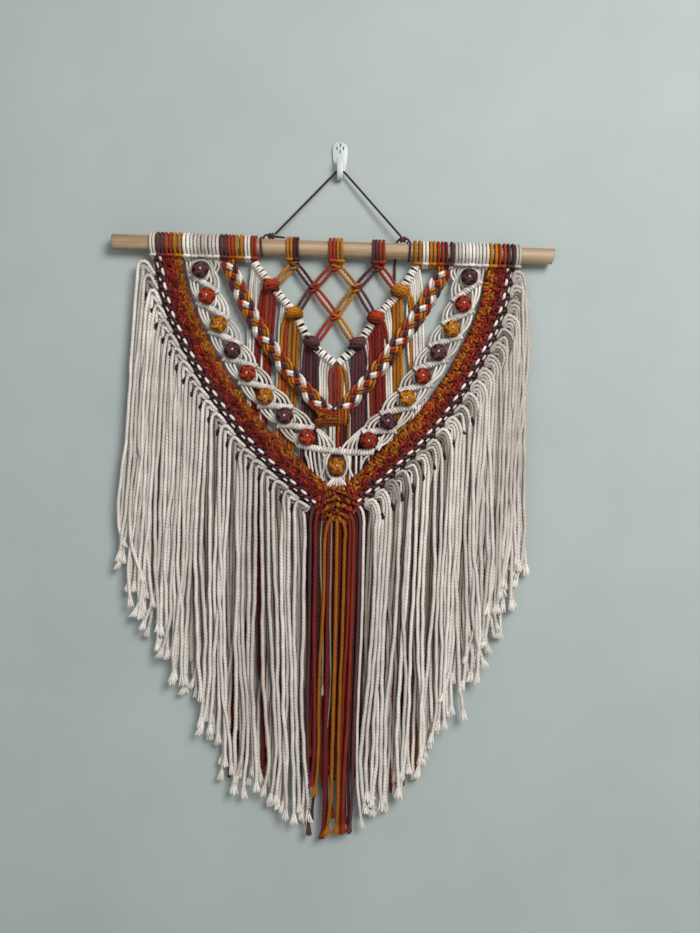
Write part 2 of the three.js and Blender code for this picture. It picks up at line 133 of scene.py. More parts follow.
# Cords of the front tassel: colour, x at the top and the foot, z of the foot, depth and radius
FRONT_CORDS = [
    ("plum", -30.5, -34.0, -699, 12.0, 2.1), ("burgundy", -25.2, -26.0, -649, 13.6, 2.3),
    ("plum", -22.4, -28.5, -685, 10.0, 1.7), ("rust", -18.6, -22.5, -653, 10.6, 1.9),
    ("mustard", -14.6, -24.0, -659, 14.0, 2.15), ("burgundy", -11.6, -17.0, -706, 12.4, 2.2),
    ("rust", -9.4, -14.0, -699, 10.6, 1.9), ("mustard", -3.1, -8.5, -701, 14.4, 2.3),
    ("rust", 0.2, -11.5, -685, 9.8, 1.7), ("mustard", 5.6, -3.5, -699, 14.0, 2.1),
    ("burgundy", 8.6, 2.5, -691, 11.0, 2.0), ("rust", 10.4, -0.5, -700, 12.8, 2.1),
    ("rust", 14.0, 4.0, -697, 13.8, 2.2), ("plum", 17.2, 8.5, -692, 10.8, 1.8),
    ("plum", 21.0, 12.0, -699, 12.6, 2.1), ("white", -19.3, -19.5, -555, 11.4, 0.9),
    ("white", -9.0, -12.0, -595, 11.4, 1.0), ("white", 24.6, 18.0, -693, 13.0, 1.7),
]
# How fast the cords of the front tassel brighten with their depth: painted shade, darker on the cords that lie
# nearer the wall
TASSEL_DEPTH_SHADE = {"white": 0.26, "plum": 0.34, "burgundy": 0.18, "rust": 0.11, "mustard": 0.09}
BEHIND_CORDS = ["plum", "rust", "burgundy", "rust", "rust", "burgundy", "rust", "rust", "burgundy", "rust",
                "rust", "burgundy", "rust", "plum"]

# Route of the hanger cord, as (x, y, z)
HANGER_ROUTE = [
    (-67, -12.1, -87.4), (-60, -11.5, -80), (-50, -10.6, -69.6), (-40, -9.7, -59.1), (-30, -8.8, -48.6),
    (-20, -7.9, -38.1), (-12, -7.1, -29.6), (-7, -6.6, -24.6), (-3.8, -6.4, -21.4), (0, -6.3, -20.4),
    (3.8, -6.4, -21.4), (7, -6.6, -24.6), (12, -7.1, -30.4), (20, -8, -39.6), (30, -9, -51.3),
    (40, -10, -63), (50, -11, -74.6), (62.7, -12.3, -89.5),
]
HANGER_CORD = 1.3  # radius

# Its knots: x of the loop round the dowel, how far the loop leans, the knot's middle, and the tail below it
HANGER_KNOTS = [
    (-81.3, 2.6, (-71, 12.5, -89.4), [(-66, 12.8, -90.2), (-61, 12.5, -90.6), (-57.5, 12.5, -91.0)]),
    (72.4, -3.0, (64.8, 12.5, -93), [(61, 8, -92), (58.5, 3.6, -96), (57.4, 2.8, -108), (57, 2.8, -134)]),
]

WALL_BEHIND = 0.4  # gap between the hook's back and the backdrop


# ---------------------------------------------------------------- lines and cords

def smooth(route, step):
    """Places a step apart on a smooth curve through a route's places."""
    places = np.asarray(route, float)
    before = 2 * places[0] - places[1]
    after = 2 * places[-1] - places[-2]
    padded = np.vstack([before, places, after])
    parts = []
    for a, b, c, d in zip(padded, padded[1:], padded[2:], padded[3:]):
        count = max(3, int(1.6 * np.linalg.norm(c - b) / step) + 1)
        t = np.linspace(0, 1, count, endpoint=False)[:, None]
        parts.append(0.5 * (2 * b + (c - a) * t + (2 * a - 5 * b + 4 * c - d) * t**2
                            + (3 * b - a - 3 * c + d) * t**3))
    curve = np.vstack(parts + [places[-1:]])
    run = distances(curve)
    wanted = np.linspace(0, run[-1], max(3, round(run[-1] / step) + 1))
    return np.stack([np.interp(wanted, run, curve[:, k]) for k in range(curve.shape[1])], axis=1)


def distances(curve):
    """How far along a curve each of its places is."""
    return np.concatenate([[0.0], np.cumsum(np.linalg.norm(np.diff(curve, axis=0), axis=1))])


def unit(vectors):
    return vectors / np.maximum(np.linalg.norm(vectors, axis=-1, keepdims=True), 1e-9)


def carried_sides(along):
    """A direction square to each tangent, carried from ring to ring so that a tube doesn't twist."""
    first = np.cross(along[0], [0.0, 1.0, 0.0])
    if np.linalg.norm(first) < 0.2:
        first = np.cross(along[0], [1.0, 0.0, 0.0])
    x, y, z = unit(first).tolist()
    sides = []
    for a, b, c in along.tolist():
        dot = x * a + y * b + z * c
        x, y, z = x - dot * a, y - dot * b, z - dot * c
        size = math.sqrt(x * x + y * y + z * z)
        x, y, z = x / size, y / size, z / size
        sides.append((x, y, z))
    return np.array(sides)


class Line:
    """A smooth line in the wall's plane, whose inner side is the one towards the middle of the hanging."""

    def __init__(self, points):
        self.curve = smooth(points, 0.5)
        self.run = distances(self.curve)
        self.length = self.run[-1]
        self.hand = 1 if self.curve[-1][0] > self.curve[0][0] else -1

    def place(self, distance):
        return np.stack([np.interp(distance, self.run, self.curve[:, k]) for k in (0, 1)], axis=-1)

    def along(self, distance):
        return unit(self.place(np.add(distance, 1.5)) - self.place(np.subtract(distance, 1.5)))

    def spots(self, distance, inward, depth):
        """Places at distances along the line, moved inward off it, at depths from the wall."""
        distance, inward, depth = np.broadcast_arrays(distance, inward, np.asarray(depth, float))
        base = self.place(distance)
        along = self.along(distance)
        x = base[..., 0] - self.hand * along[..., 1] * inward
        z = base[..., 1] + self.hand * along[..., 0] * inward
        return np.stack([x, depth, z], axis=-1)

    def spot(self, distance, inward, depth):
        return self.spots([distance], [inward], [depth])[0]


class Cords:
    """Twisted cords of one colour, gathered into one mesh."""

    def __init__(self, groove=GROOVE, lay=LAY):
        self.groove, self.lay = groove, lay
        self.count = 0
        self.verts, self.tones, self.grooves = [], [], []
        self.quads, self.quad_uvs, self.tris = [], [], []

    def add(self, route, radius=CORD, coarse=1.0, tone=None, tip=None, cut=False, swell=None, twisted=True):
        """A cord along a route, whose tone turns to tip over its last stretch.

        A cut end is domed, and other ends are flat because something hides them.
        """
        curve = smooth(route, radius * coarse) * FRONT
        run = distances(curve)
        along = unit(np.gradient(curve, axis=0))
        sides = carried_sides(along)
        others = np.cross(along, sides)
        tone = draws.uniform(0.5, 1) if tone is None else tone
        reach = np.full(len(curve), radius) if swell is None else radius * np.interp(
            np.linspace(0, 1, len(curve)), np.linspace(0, 1, len(swell)), swell)
        turn = draws.uniform(0, 2 * math.pi) + twisted * 2 * math.pi * run / (self.lay * radius)
        angle = turn[:, None] + np.arange(SIDES) * 2 * math.pi / SIDES
        profile = np.where(np.arange(SIDES) % 2 == 0, 1.0, self.groove)
        out = np.cos(angle)[..., None] * sides[:, None] + np.sin(angle)[..., None] * others[:, None]
        rings = curve[:, None] + (reach[:, None] * profile)[..., None] * out
        if cut:
            dome = curve[-1] + along[-1] * 0.5 * radius + 0.6 * (rings[-1] - curve[-1])
            rings = np.concatenate([rings, dome[None]])
            run = np.append(run, run[-1] + 0.6 * radius)
        tips = np.stack([curve[0], curve[-1] + (along[-1] * 0.7 * radius if cut else 0)])
        tones = np.interp(run[-1] - run, [TIP_LENGTH / 3, TIP_LENGTH], [tone if tip is None else tip, tone])
        self.join(rings, tips, run, radius, tones)

    def join(self, rings, tips, run, radius, tones):
        """Rings of points as a closed tube, with a tip at each end."""
        count = len(rings)
        ring = np.arange(SIDES)
        following = (ring + 1) % SIDES
        base = self.count + np.arange(count - 1)[:, None] * SIDES
        quads = [base + ring, base + following, base + following + SIDES, base + ring + SIDES]
        self.quads.append(np.stack(quads, axis=-1).reshape(-1, 4))
        u = np.stack([ring, ring + 1, ring + 1, ring], axis=-1) / SIDES
        v = run / (2 * math.pi * radius)
        v = np.stack([v[:-1], v[:-1], v[1:], v[1:]], axis=-1)
        self.quad_uvs.append(np.stack(np.broadcast_arrays(u, v[:, None]), axis=-1).reshape(-1, 2))
        tip = self.count + count * SIDES
        last = tip - SIDES
        self.tris += [np.stack([np.full(SIDES, tip), self.count + following, self.count + ring], axis=-1),
                      np.stack([np.full(SIDES, tip + 1), last + ring, last + following], axis=-1)]
        self.verts += [rings.reshape(-1, 3), tips]
        # The groove value is 1 on a ply and 0 in a groove between plies: the mask of the painted shade in the
        # grooves.
        self.grooves += [np.tile(1.0 - ring % 2, count), [0.5, 0.5]]
        self.tones += [np.repeat(tones, SIDES), tones[[0, -1]]]
        self.count = tip + 2

    def mesh(self):
        quads, tris = np.concatenate(self.quads), np.concatenate(self.tris)
        starts = np.concatenate([np.arange(len(quads)) * 4, quads.size + np.arange(len(tris)) * 3])
        uvs = np.concatenate([*self.quad_uvs, np.zeros((tris.size, 2))])
        mesh = bpy.data.meshes.new("cords")
        mesh.vertices.add(self.count)
        mesh.vertices.foreach_set("co", np.concatenate(self.verts).ravel() * MM)
        mesh.loops.add(len(uvs))
        mesh.loops.foreach_set("vertex_index", np.concatenate([quads.ravel(), tris.ravel()]))
        mesh.polygons.add(len(starts))
        mesh.polygons.foreach_set("loop_start", starts)
        mesh.uv_layers.new(name="UVMap").data.foreach_set("uv", uvs.ravel())
        for label, values in (("tone", self.tones), ("groove", self.grooves)):
            layer = mesh.attributes.new(label, "FLOAT", "POINT")
            layer.data.foreach_set("value", np.concatenate(values).astype(np.float32))
        mesh.update(calc_edges=True)
        mesh.validate()
        return mesh


class Section:
    """One part of the hanging: its cords by colour, and the CAD nodes that they stand for."""

    def __init__(self, name, *nodes):
        self.name, self.nodes, self.colours = name, nodes, {}

    def cord(self, colour, route, radius=CORD, **more):
        if colour not in self.colours:
            self.colours[colour] = Cords(SOFT_GROOVE, SOFT_LAY) if colour == "white" else Cords()
        self.colours[colour].add(route, radius, **more)

    def make(self):
        return [finished(f"{self.name}_{colour}", cords.mesh(), colour, *self.nodes)
                for colour, cords in self.colours.items()]


def linked(name, data):
    """An object of some data, in the scene."""
    made = bpy.data.objects.new(name, data)
    bpy.context.scene.collection.objects.link(made)
    return made


def finished(name, mesh, finish, *nodes):
    """A smooth piece with its material and body, which stands for CAD nodes."""
    mesh.name = name
    mesh.polygons.foreach_set("use_smooth", np.ones(len(mesh.polygons), bool))
    mesh.materials.append(MATERIALS[finish])
    made = linked(name, mesh)
    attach(made, "root")
    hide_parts(*nodes)
    return made


# ---------------------------------------------------------------- materials

class Finish:
    """A material in the making: its nodes, its shader, and the places that its textures follow."""

    def __init__(self, name, base, roughness, more=None):
        self.material = bpy.data.materials.new(name)
        self.material.use_nodes = True
        self.nodes, self.links = self.material.node_tree.nodes, self.material.node_tree.links
        self.shader = self.nodes["Principled BSDF"]
        self.places = self.nodes.new("ShaderNodeTexCoord").outputs
        for label, value in {"Base Color": (*base, 1), "Roughness": roughness, **(more or {})}.items():
            self.shader.inputs[label].default_value = value

    def node(self, kind, output, inputs=None, **settings):
        """An output of a new node, whose inputs are numbers, vectors or other outputs."""
        made = self.nodes.new(kind)
        for label, value in settings.items():
            setattr(made, label, value)
        for label, value in (inputs or {}).items():
            if isinstance(value, bpy.types.NodeSocket):
                self.links.new(value, made.inputs[label])
            else:
                made.inputs[label].default_value = value
        return made.outputs[output]

    def stretched(self, place, scale):
        return self.node("ShaderNodeMapping", "Vector", {"Vector": self.places[place], "Scale": scale})

    def noise(self, source, scale=1.0, detail=3.0):
        return self.node("ShaderNodeTexNoise", "Fac", {"Vector": source, "Scale": scale, "Detail": detail})

    def attribute(self, name):
        return self.node("ShaderNodeAttribute", "Fac", attribute_name=name)

    def ramp(self, source, *stops):
        """A colour ramp over a value: stops are (place, colour), and a number is a grey."""
        made = self.nodes.new("ShaderNodeValToRGB")
        while len(made.color_ramp.elements) < len(stops):
            made.color_ramp.elements.new(0.5)
        for element, (place, colour) in zip(made.color_ramp.elements, stops):
            element.position = place
            element.color = (*np.broadcast_to(colour, 3).tolist(), 1)
        self.links.new(source, made.inputs["Fac"])
        return made.outputs["Color"]

    def yarns(self):
        """A value that rises and falls over the fine yarns, which wind round a cord at a steep angle."""
        around = self.node("ShaderNodeSeparateXYZ", "X", {"Vector": self.places["UV"]})
        along = around.node.outputs["Y"]
        start = self.node("ShaderNodeMath", "Value", {0: around, 1: 2 * math.pi * YARNS},
                          operation="MULTIPLY")
        winding = self.node("ShaderNodeMath", "Value", {0: along, 1: 2 * math.pi * YARN_TURNS, 2: start},
                            operation="MULTIPLY_ADD")
        wave = self.node("ShaderNodeMath", "Value", {0: winding}, operation="SINE")
        return self.node("ShaderNodeMapRange", "Result", {"Value": wave, "From Min": -1})

    def done(self, *colours, bump=None):
        """The material, with the product of some colours, and a bump: its height, strength and distance."""
        product, *others = colours
        for other in others:
            product = self.node("ShaderNodeMix", "Result", {"Factor": 1.0, "A": product, "B": other},
                                data_type="RGBA", blend_type="MULTIPLY")
        self.links.new(product, self.shader.inputs["Base Color"])
        if bump:
            height, strength, distance = bump
            normal = self.node("ShaderNodeBump", "Normal",
                               {"Height": height, "Strength": strength, "Distance": distance})
            self.links.new(normal, self.shader.inputs["Normal"])
        return self.material


def cotton(name, dark, light, groove_shade):
    """Twisted cotton, whose cords run from dark to light, with yarns and fibres. It paints shade: groove_shade
    darkens the grooves between the plies, and the troughs between the yarns are darker.
    """
    made = Finish(name, light, 0.95,
                  {"Specular IOR Level": 0.15, "Sheen Weight": 0.03, "Sheen Roughness": 0.6})
    fibres = made.noise(made.stretched("UV", (26, 5, 1)), detail=4.0)
    blotches = made.noise(made.places["Object"], 60.0)
    return made.done(
        made.ramp(made.attribute("tone"), (0.0, dark), (1.0, light)),
        # Painted shade in the grooves between the plies.
        made.ramp(made.attribute("groove"), (0.0, groove_shade), (0.6, 1)),
        # Painted shade in the troughs between the yarns.
        made.ramp(made.yarns(), (0.0, (0.80, 0.78, 0.76)), (0.5, 1.02)),
        made.ramp(fibres, (0.3, (0.78, 0.77, 0.76)), (0.7, 1.08)),
        made.ramp(blotches, (0.35, (0.86, 0.86, 0.85)), (0.65, 1.06)),
        bump=(fibres, 0.5, 0.0004),
    )


def pine():
    """Pale planed pine: long grain along the dowel, and a few darker streaks."""
    made = Finish("pine", (0.6, 0.42, 0.24), 0.55)
    grain = made.noise(made.stretched("Object", (6, 220, 220)), detail=5.0)
    pores = made.noise(made.stretched("Object", (60, 1800, 1800)), detail=2.0)
    return made.done(
        made.ramp(grain, (0.3, (0.25, 0.155, 0.08)), (0.5, (0.34, 0.235, 0.14)), (0.7, (0.40, 0.295, 0.19))),
        made.ramp(pores, (0.3, (0.82, 0.78, 0.72)), (0.55, 1)),
        bump=(pores, 0.25, 0.0002),
    )


def plastic():
    """Moulded white plastic, very slightly uneven."""
    made = Finish("white_plastic", (0.55, 0.58, 0.58), 0.35,
                  {"Subsurface Weight": 0.15, "Subsurface Radius": (0.004, 0.004, 0.004)})
    marks = made.noise(made.places["Object"], 300.0)
    return made.done(made.ramp(marks, (0.3, (0.42, 0.46, 0.46)), (0.7, (0.48, 0.52, 0.52))),
                     bump=(marks, 0.1, 0.0002))


def steel():
    """Blackened steel of the pins, slightly uneven."""
    made = Finish("pin_steel", (0.1, 0.1, 0.1), 0.4, {"Metallic": 1.0})
    return made.done(made.ramp(made.noise(made.places["Object"], 2500.0), (0.3, 0.07), (0.7, 0.16)))


# Each cotton runs from a dark colour to a light one by the tone of a cord; low tones also stand for painted
# shade where cords lie behind others, and the last colour is the painted shade of the grooves.
MATERIALS = {
    "white": cotton("white_cotton", (0.17, 0.135, 0.108), (0.83, 0.785, 0.735), (0.88, 0.87, 0.86)),
    "plum": cotton("plum_cotton", (0.032, 0.009, 0.012), (0.135, 0.049, 0.056), (0.5, 0.4, 0.4)),
    "burgundy": cotton("burgundy_cotton", (0.080, 0.005, 0.004), (0.26, 0.025, 0.022), (0.5, 0.4, 0.38)),
    "rust": cotton("rust_cotton", (0.12, 0.008, 0.002), (0.45, 0.055, 0.017), (0.52, 0.38, 0.3)),
    "mustard": cotton("mustard_cotton", (0.19, 0.052, 0.001), (0.58, 0.23, 0.014), (0.55, 0.4, 0.22)),
    "pine": pine(),
    "plastic": plastic(),
    "steel": steel(),
}


# ---------------------------------------------------------------- camera, light and backdrop

CAMERA = {"x": 10.3, "z": -327.3, "away": 1000, "plane": 11, "view_height": 964.7}
SENSOR = 36   # size of the camera's film
MIDDLE = (0, 0, -0.35)  # the place that the lights are aimed at, in metres
ROOM = 3.0    # half width of the backdrop wall and the floor, in metres
FLOOR, CEILING = -1.25, 2.5  # lowest and highest place of the backdrop wall, in metres


def add_camera():
    """Straight in front of the hanging, and far enough away to have its wall all round it."""
    camera = linked("camera", bpy.data.cameras.new("camera"))
    camera.location = (CAMERA["x"] * MM, -(CAMERA["away"] + CAMERA["plane"]) * MM, CAMERA["z"] * MM)
    camera.rotation_euler = (math.pi / 2, 0, 0)
    camera.data.sensor_width = SENSOR
    camera.data.lens = SENSOR * CAMERA["away"] / CAMERA["view_height"]
    bpy.context.scene.camera = camera
    bpy.context.scene.view_settings.view_transform = "Standard"


def add_area(name, place, size, power, colour):
    """A round soft light that is aimed at the middle of the hanging."""
    light = bpy.data.lights.new(name, "AREA")
    light.shape = "DISK"
    light.size = size
    light.energy = power
    light.color = colour
    made = linked(name, light)
    made.location = place
    x, y, z = np.subtract(MIDDLE, place)
    made.rotation_euler = (math.atan2(math.hypot(x, y), -z), 0, math.atan2(-x, y))


def add_plane(name, corners, material):
    mesh = bpy.data.meshes.new(name)
    mesh.from_pydata(corners, [], [(0, 1, 2, 3)])
    mesh.materials.append(material)
    made = linked(name, mesh)
    return made


def add_stage():
    """A painted wall that can be seen only from the front, a plain pale floor, and soft studio light."""
    paint = Finish("wall_paint", (0.33, 0.37, 0.36), 0.85)
    roller = paint.noise(paint.places["Object"], 9.0)
    paint.done(paint.ramp(roller, (0.3, (0.315, 0.36, 0.352)), (0.7, (0.338, 0.384, 0.376))))
    either = paint.node("ShaderNodeMixShader", "Shader", {
        "Fac": paint.node("ShaderNodeNewGeometry", "Backfacing"),
        1: paint.shader.outputs["BSDF"],
        2: paint.node("ShaderNodeBsdfTransparent", "BSDF"),
    })
    paint.links.new(either, paint.nodes["Material Output"].inputs["Surface"])
    back = WALL_BEHIND * MM
    corners = ((-1, FLOOR), (1, FLOOR), (1, CEILING), (-1, CEILING))
    wall = add_plane("backdrop_wall", [(side * ROOM, back, z) for side, z in corners], paint.material)
    wall.visible_shadow = False
    pale = Finish("floor_paint", (0.62, 0.62, 0.6), 0.8)
    corners = ((-ROOM, -ROOM), (ROOM, -ROOM), (ROOM, ROOM), (-ROOM, ROOM))
    add_plane("floor", [(x, y, FLOOR) for x, y in corners], pale.material)

    add_area("key_light", (0.72, -1.5, 0.42), 0.9, 36, (1.0, 0.98, 0.95))
    add_area("fill_light", (-1.1, -1.7, -0.1), 1.6, 5, (0.95, 0.98, 1.0))
    add_area("back_light", (0.3, 1.6, 0.1), 1.4, 16, (1.0, 1.0, 1.0))
    world = bpy.data.worlds.new("soft_daylight")
    world.use_nodes = True
    daylight = world.node_tree.nodes["Background"].inputs
    daylight["Color"].default_value = (0.9, 0.95, 1.0, 1)
    daylight["Strength"].default_value = 0.28
    bpy.context.scene.world = world


# ---------------------------------------------------------------- hanger cord, dowel and hook

def add_hanger():
    """The hanger: a thin twisted cord, taut over the hook, knotted to the dowel at both ends."""
    route = np.array(HANGER_ROUTE) * FRONT
    section = Section("hanger", "hanger_cord")
    section.cord("plum", route, HANGER_CORD, tone=0.35)
    cord = section.make()[0]


def dowel_height(x):
    """Height of the dowel's middle at x."""
    return DOWEL["z"] - (x - DOWEL["x"]) * DOWEL["slope"]


def around_dowel(x, angles, radius):
    """Places round the dowel at x. Angle 0 is the front, and a quarter turn is the top."""
    return np.stack([np.broadcast_to(x, angles.shape), DOWEL["depth"] + radius * np.cos(angles),
                     dowel_height(x) + radius * np.sin(angles)], axis=-1)


def add_hanger_knots():
    """The hanger's loops round the dowel, the knots beside them and the two short tails."""
    section = Section("hanger_knots", "hanger_knot_left", "hanger_knot_right")
    for loop, lean, knot, tail in HANGER_KNOTS:
        turns = np.linspace(0.35 * math.pi, 2.35 * math.pi, 15)
        ring = around_dowel(loop, turns, DOWEL["radius"] + HANGER_CORD + 0.1)
        ring[:, 0] += np.linspace(lean, 0, len(turns))
        rise = [(loop + (knot[0] - loop) * 0.5, 14, knot[2] + 0.8), knot]
        section.cord("plum", np.vstack([ring[::-1] if loop < 0 else ring, rise]), HANGER_CORD)
        section.cord("plum", [knot, *tail], HANGER_CORD, cut=True)
        for tilt in (-0.9, 0.1, 1.0):
            turn = np.linspace(-math.pi, math.pi, 13)
            across = 2.7 * np.sin(turn)
            route = np.stack([
                knot[0] + across * math.cos(tilt) + 0.5 * turn / math.pi,
                knot[1] + 2.3 * np.cos(turn),
                knot[2] + across * math.sin(tilt) + 0.8 * np.cos(turn) * math.cos(tilt),
            ], axis=-1)
            section.cord("plum", route, HANGER_CORD)
    section.make()


def add_dowel():
    """The dowel: barely uneven, with eased ends, of which the right one is sawn aslant and chipped."""
    half, radius, around = DOWEL["length"] / 2, DOWEL["radius"], 48
    slant, chip_depth, chip_length, core = 1.6, 0.3, 0.4, 4.0
    profile = [(-half, 0.0), (-half, 3.0), (-half, radius - 0.9), (-half + 0.3, radius - 0.3),
               (-half + 0.9, radius)]
    profile += [(x, radius) for x in np.linspace(-half + 6, half - 6, 60)]
    profile += [(-x, r) for x, r in reversed(profile[:5])]
    angles = np.arange(around) * 2 * math.pi / around
    chips = 0.5 * np.sin(3 * angles) + 0.45 * np.sin(7 * angles + 2.0) + 0.4 * np.sin(17 * angles)
    slope_x, slope_z = math.cos(DOWEL["slope"]), math.sin(DOWEL["slope"])
    verts, faces = [], []
    for x, reach in profile:
        sawn = x > half - 2
        wobble = 1 + 0.006 * math.sin(x * 0.045) * (reach == radius)
        for angle, chip in zip(angles, chips):
            out = reach * wobble - chip_depth * max(0, chip) * (sawn and reach > core)
            cut = slant * (1 - reach / radius * math.sin(angle)) + chip_length * chip * (reach > core)
            far = x - sawn * cut
            verts.append((far * slope_x + DOWEL["x"], -(DOWEL["depth"] + out * math.cos(angle)),
                          DOWEL["z"] - x * slope_z + out * math.sin(angle)))
    for first in range(0, (len(profile) - 1) * around, around):
        for here in range(around):
            following = (here + 1) % around
            faces.append((first + here, first + following, first + around + following, first + around + here))
    mesh = bpy.data.meshes.new("dowel")
    mesh.from_pydata((np.array(verts) * MM).tolist(), [], faces)
    bm = bmesh.new()
    bm.from_mesh(mesh)
    bmesh.ops.remove_doubles(bm, verts=bm.verts, dist=1e-6)
    bmesh.ops.recalc_face_normals(bm, faces=bm.faces)
    finished("dowel_turned", meshed(bm, mesh), "pine", "dowel")


HOOK = {"half": 8.1, "top": 11.4, "neck": -7, "foot": -24, "plate": 2.4, "arm": 7, "reach": 13, "low": -29.5}
PINS = [(0.5, 7.9), (-3.2, 4.5), (3.6, 4.5), (0.1, 1.1)]
PIN = 1.05  # radius


def meshed(bm, mesh):
    """The mesh, filled with what was modelled."""
    bm.to_mesh(mesh)
    bm.free()
    return mesh


def solid_from(outline, depth):
    """A flat solid of an outline of places, thickened by a vector."""
    bm = bmesh.new()
    face = bm.faces.new([bm.verts.new(place) for place in outline])
    made = bmesh.ops.extrude_face_region(bm, geom=[face])
    moved = [g for g in made["geom"] if isinstance(g, bmesh.types.BMVert)]
    bmesh.ops.translate(bm, vec=depth, verts=moved)
    bmesh.ops.recalc_face_normals(bm, faces=bm.faces)
    return meshed(bm, bpy.data.meshes.new("solid"))


def rounded(mesh, width):
    """The mesh with its edges rounded over, from a bevel whose result is kept."""
    helper = linked("bevelling", mesh)
    bevel = helper.modifiers.new("bevel", "BEVEL")
    bevel.width = width * MM
    bevel.segments = 3
    bevel.limit_method = "ANGLE"
    bevel.angle_limit = math.radians(40)
    bpy.context.view_layer.update()
    made = bpy.data.meshes.new_from_object(helper.evaluated_get(bpy.context.evaluated_depsgraph_get()))
    bpy.data.objects.remove(helper)
    return made


def add_hook():
    """The wall hook: a round-topped plate with four pins, and an arm that turns up in front of the cord."""
    half, neck, foot = HOOK["half"], HOOK["neck"], HOOK["foot"]
    shoulder, waist = half - 0.6, HOOK["arm"] / 2 + 1
    arc = [(half * math.cos(a), HOOK["top"] - half + half * math.sin(a)) for a in np.linspace(0, math.pi, 15)]
    outline = [(waist, foot), (shoulder, neck), *arc, (-shoulder, neck), (-waist, foot)]
    plate = solid_from([(x * MM, 0, z * MM) for x, z in outline], (0, -HOOK["plate"] * MM, 0))
    finished("hook_plate", rounded(plate, 0.7), "plastic", "wall_hook")

    low, reach, thick, bend = HOOK["low"], HOOK["reach"], 3.0, HOOK["low"] + 6.4
    outline = [(0.2, -12), (0.2, low + 7)]
    outline += [(6.6 - 6.4 * math.cos(a), bend - 6.4 * math.sin(a))
                for a in np.linspace(0.25, math.pi - 0.1, 10)]
    outline += [(reach, low + 9), (reach - 0.6, -7.6), (reach - 2.4, -7.6), (reach - 3.1, low + 9)]
    outline += [(6.6 + 3.5 * math.cos(a), bend - 3.2 * math.sin(a))
                for a in np.linspace(0.2, math.pi - 0.2, 8)]
    outline += [(thick, low + 8.5), (thick - 0.6, -12)]
    side = HOOK["arm"] / 2 - 0.4
    arm = solid_from([(-side * MM, -depth * MM, z * MM) for depth, z in outline], (2 * side * MM, 0, 0))
    finished("hook_arm", rounded(arm, 0.8), "plastic", "wall_hook")

    pins = bmesh.new()
    for x, z in PINS:
        pin = bmesh.ops.create_uvsphere(pins, u_segments=16, v_segments=10, radius=PIN * MM)["verts"]
        bmesh.ops.scale(pins, vec=(0.7, 0.7, 1.8), verts=pin)
        bmesh.ops.translate(pins, vec=(x * MM, -(HOOK["plate"] + 0.1) * MM, z * MM), verts=pin)
    finished("hook_pins", meshed(pins, bpy.data.meshes.new("pins")), "steel", "wall_hook")


# ---------------------------------------------------------------- knots

def hitch(section, colour, line, distance, inward, depth, reach, thick, lean=0.0, radius=CORD, tone=None):
    """One turn of cord round a line: it leans over the front from one side to the other and closes behind."""
    turn = np.linspace(-math.pi, math.pi, 13)
    distance = distance + lean * np.sin(turn) + 0.3 * radius * turn / math.pi
    route = line.spots(distance, inward + reach * np.sin(turn), depth + thick * np.cos(turn))
    section.cord(colour, route, radius, tone=tone)


def add_heads():
    """Lark's heads that hold the cords to the dowel: two wraps and the bar across them below."""
    for node, heads in HEADS.items():
        section = Section(node.replace("wraps", "heads"), node)
        for colour, left, count, pitch in heads:
            for i in range(count):
                add_head(section, colour, left + (i + 0.5) * pitch, pitch)
        section.make()


BAR_DROP = 12.6  # from the dowel's middle down to the bar of a lark's head


def add_head(section, colour, x, pitch):
    """One lark's head: two turns over the dowel, the bar in front of them, and two ends behind the bar."""
    radius = min(CORD, pitch / 4.02)
    half = pitch / 2 - radius
    bar_z = dowel_height(x) - BAR_DROP + draws.normal(0, 0.15)
    tone = draws.uniform(0.4, 1.0)
    for side in (-1, 1):
        wrap = around_dowel(x, np.linspace(1.3 * math.pi, -0.2 * math.pi, 14), DOWEL["radius"] + radius + 0.2)
        wrap[:, 0] = x + side * half + draws.normal(0, 0.12)
        end = [(x + side * half, 14.4, bar_z + 1.4), (x + side * half * 0.9, 12.0, bar_z - 1.2),
               (x + side * half * 0.9, 9.4, bar_z - 3.0)]
        section.cord(colour, np.vstack([wrap, end]), radius, tone=tone)
    reach = half + 0.9 * radius
    bar = ((-reach, 10.5, 0.6), (-reach, 14.6, 0.3), (-half * 0.7, 17, 0), (half * 0.7, 17, 0),
           (reach, 14.6, 0.3), (reach, 10.5, 0.6))
    section.cord(colour, [(x + aside, depth, bar_z + up) for aside, depth, up in bar], radius, coarse=0.8,
                 tone=tone)


NET_KNOT_CORD = 1.65  # radius


def add_net():
    """Open net between the dowel and the V: pairs of cords between small square knots."""
    section = Section("net", "open_net")
    for start, end, colour in NET_PAIRS:
        line = Line([start, end])
        for side in (-1, 1):
            share = np.linspace(0, 1, 7)
            spread = side * (2.05 + 0.7 * np.sin(share * math.pi)) * (1 + draws.normal(0, 0.08))
            depth = 9.4 + 0.6 * np.sin(share * math.pi + side)
            section.cord(colour, line.spots(share * line.length, spread, depth))
    for (x, z), one, other in NET_KNOTS:
        upright = Line([[x, z + 8], [x, z - 8]])
        turns = ((one, 5.6, 9.8, 3.9, 3.2, 1.4), (other, 8.4, 10.0, 4.4, 3.4, -1.5),
                 (one, 11.2, 9.8, 3.8, 3.0, 1.3))
        for colour, place, depth, reach, thick, lean in turns:
            hitch(section, colour, upright, place, 0, depth, reach, thick, lean, NET_KNOT_CORD)
    section.make()


def berry_box(name):
    """Middle and half sizes of a berry knot's CAD ball, as (x, depth, z)."""
    low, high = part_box(name)
    low, high = np.array(low) / MM, np.array(high) / MM
    middle = (low + high) / 2 * FRONT
    return middle, (high - low) / 2


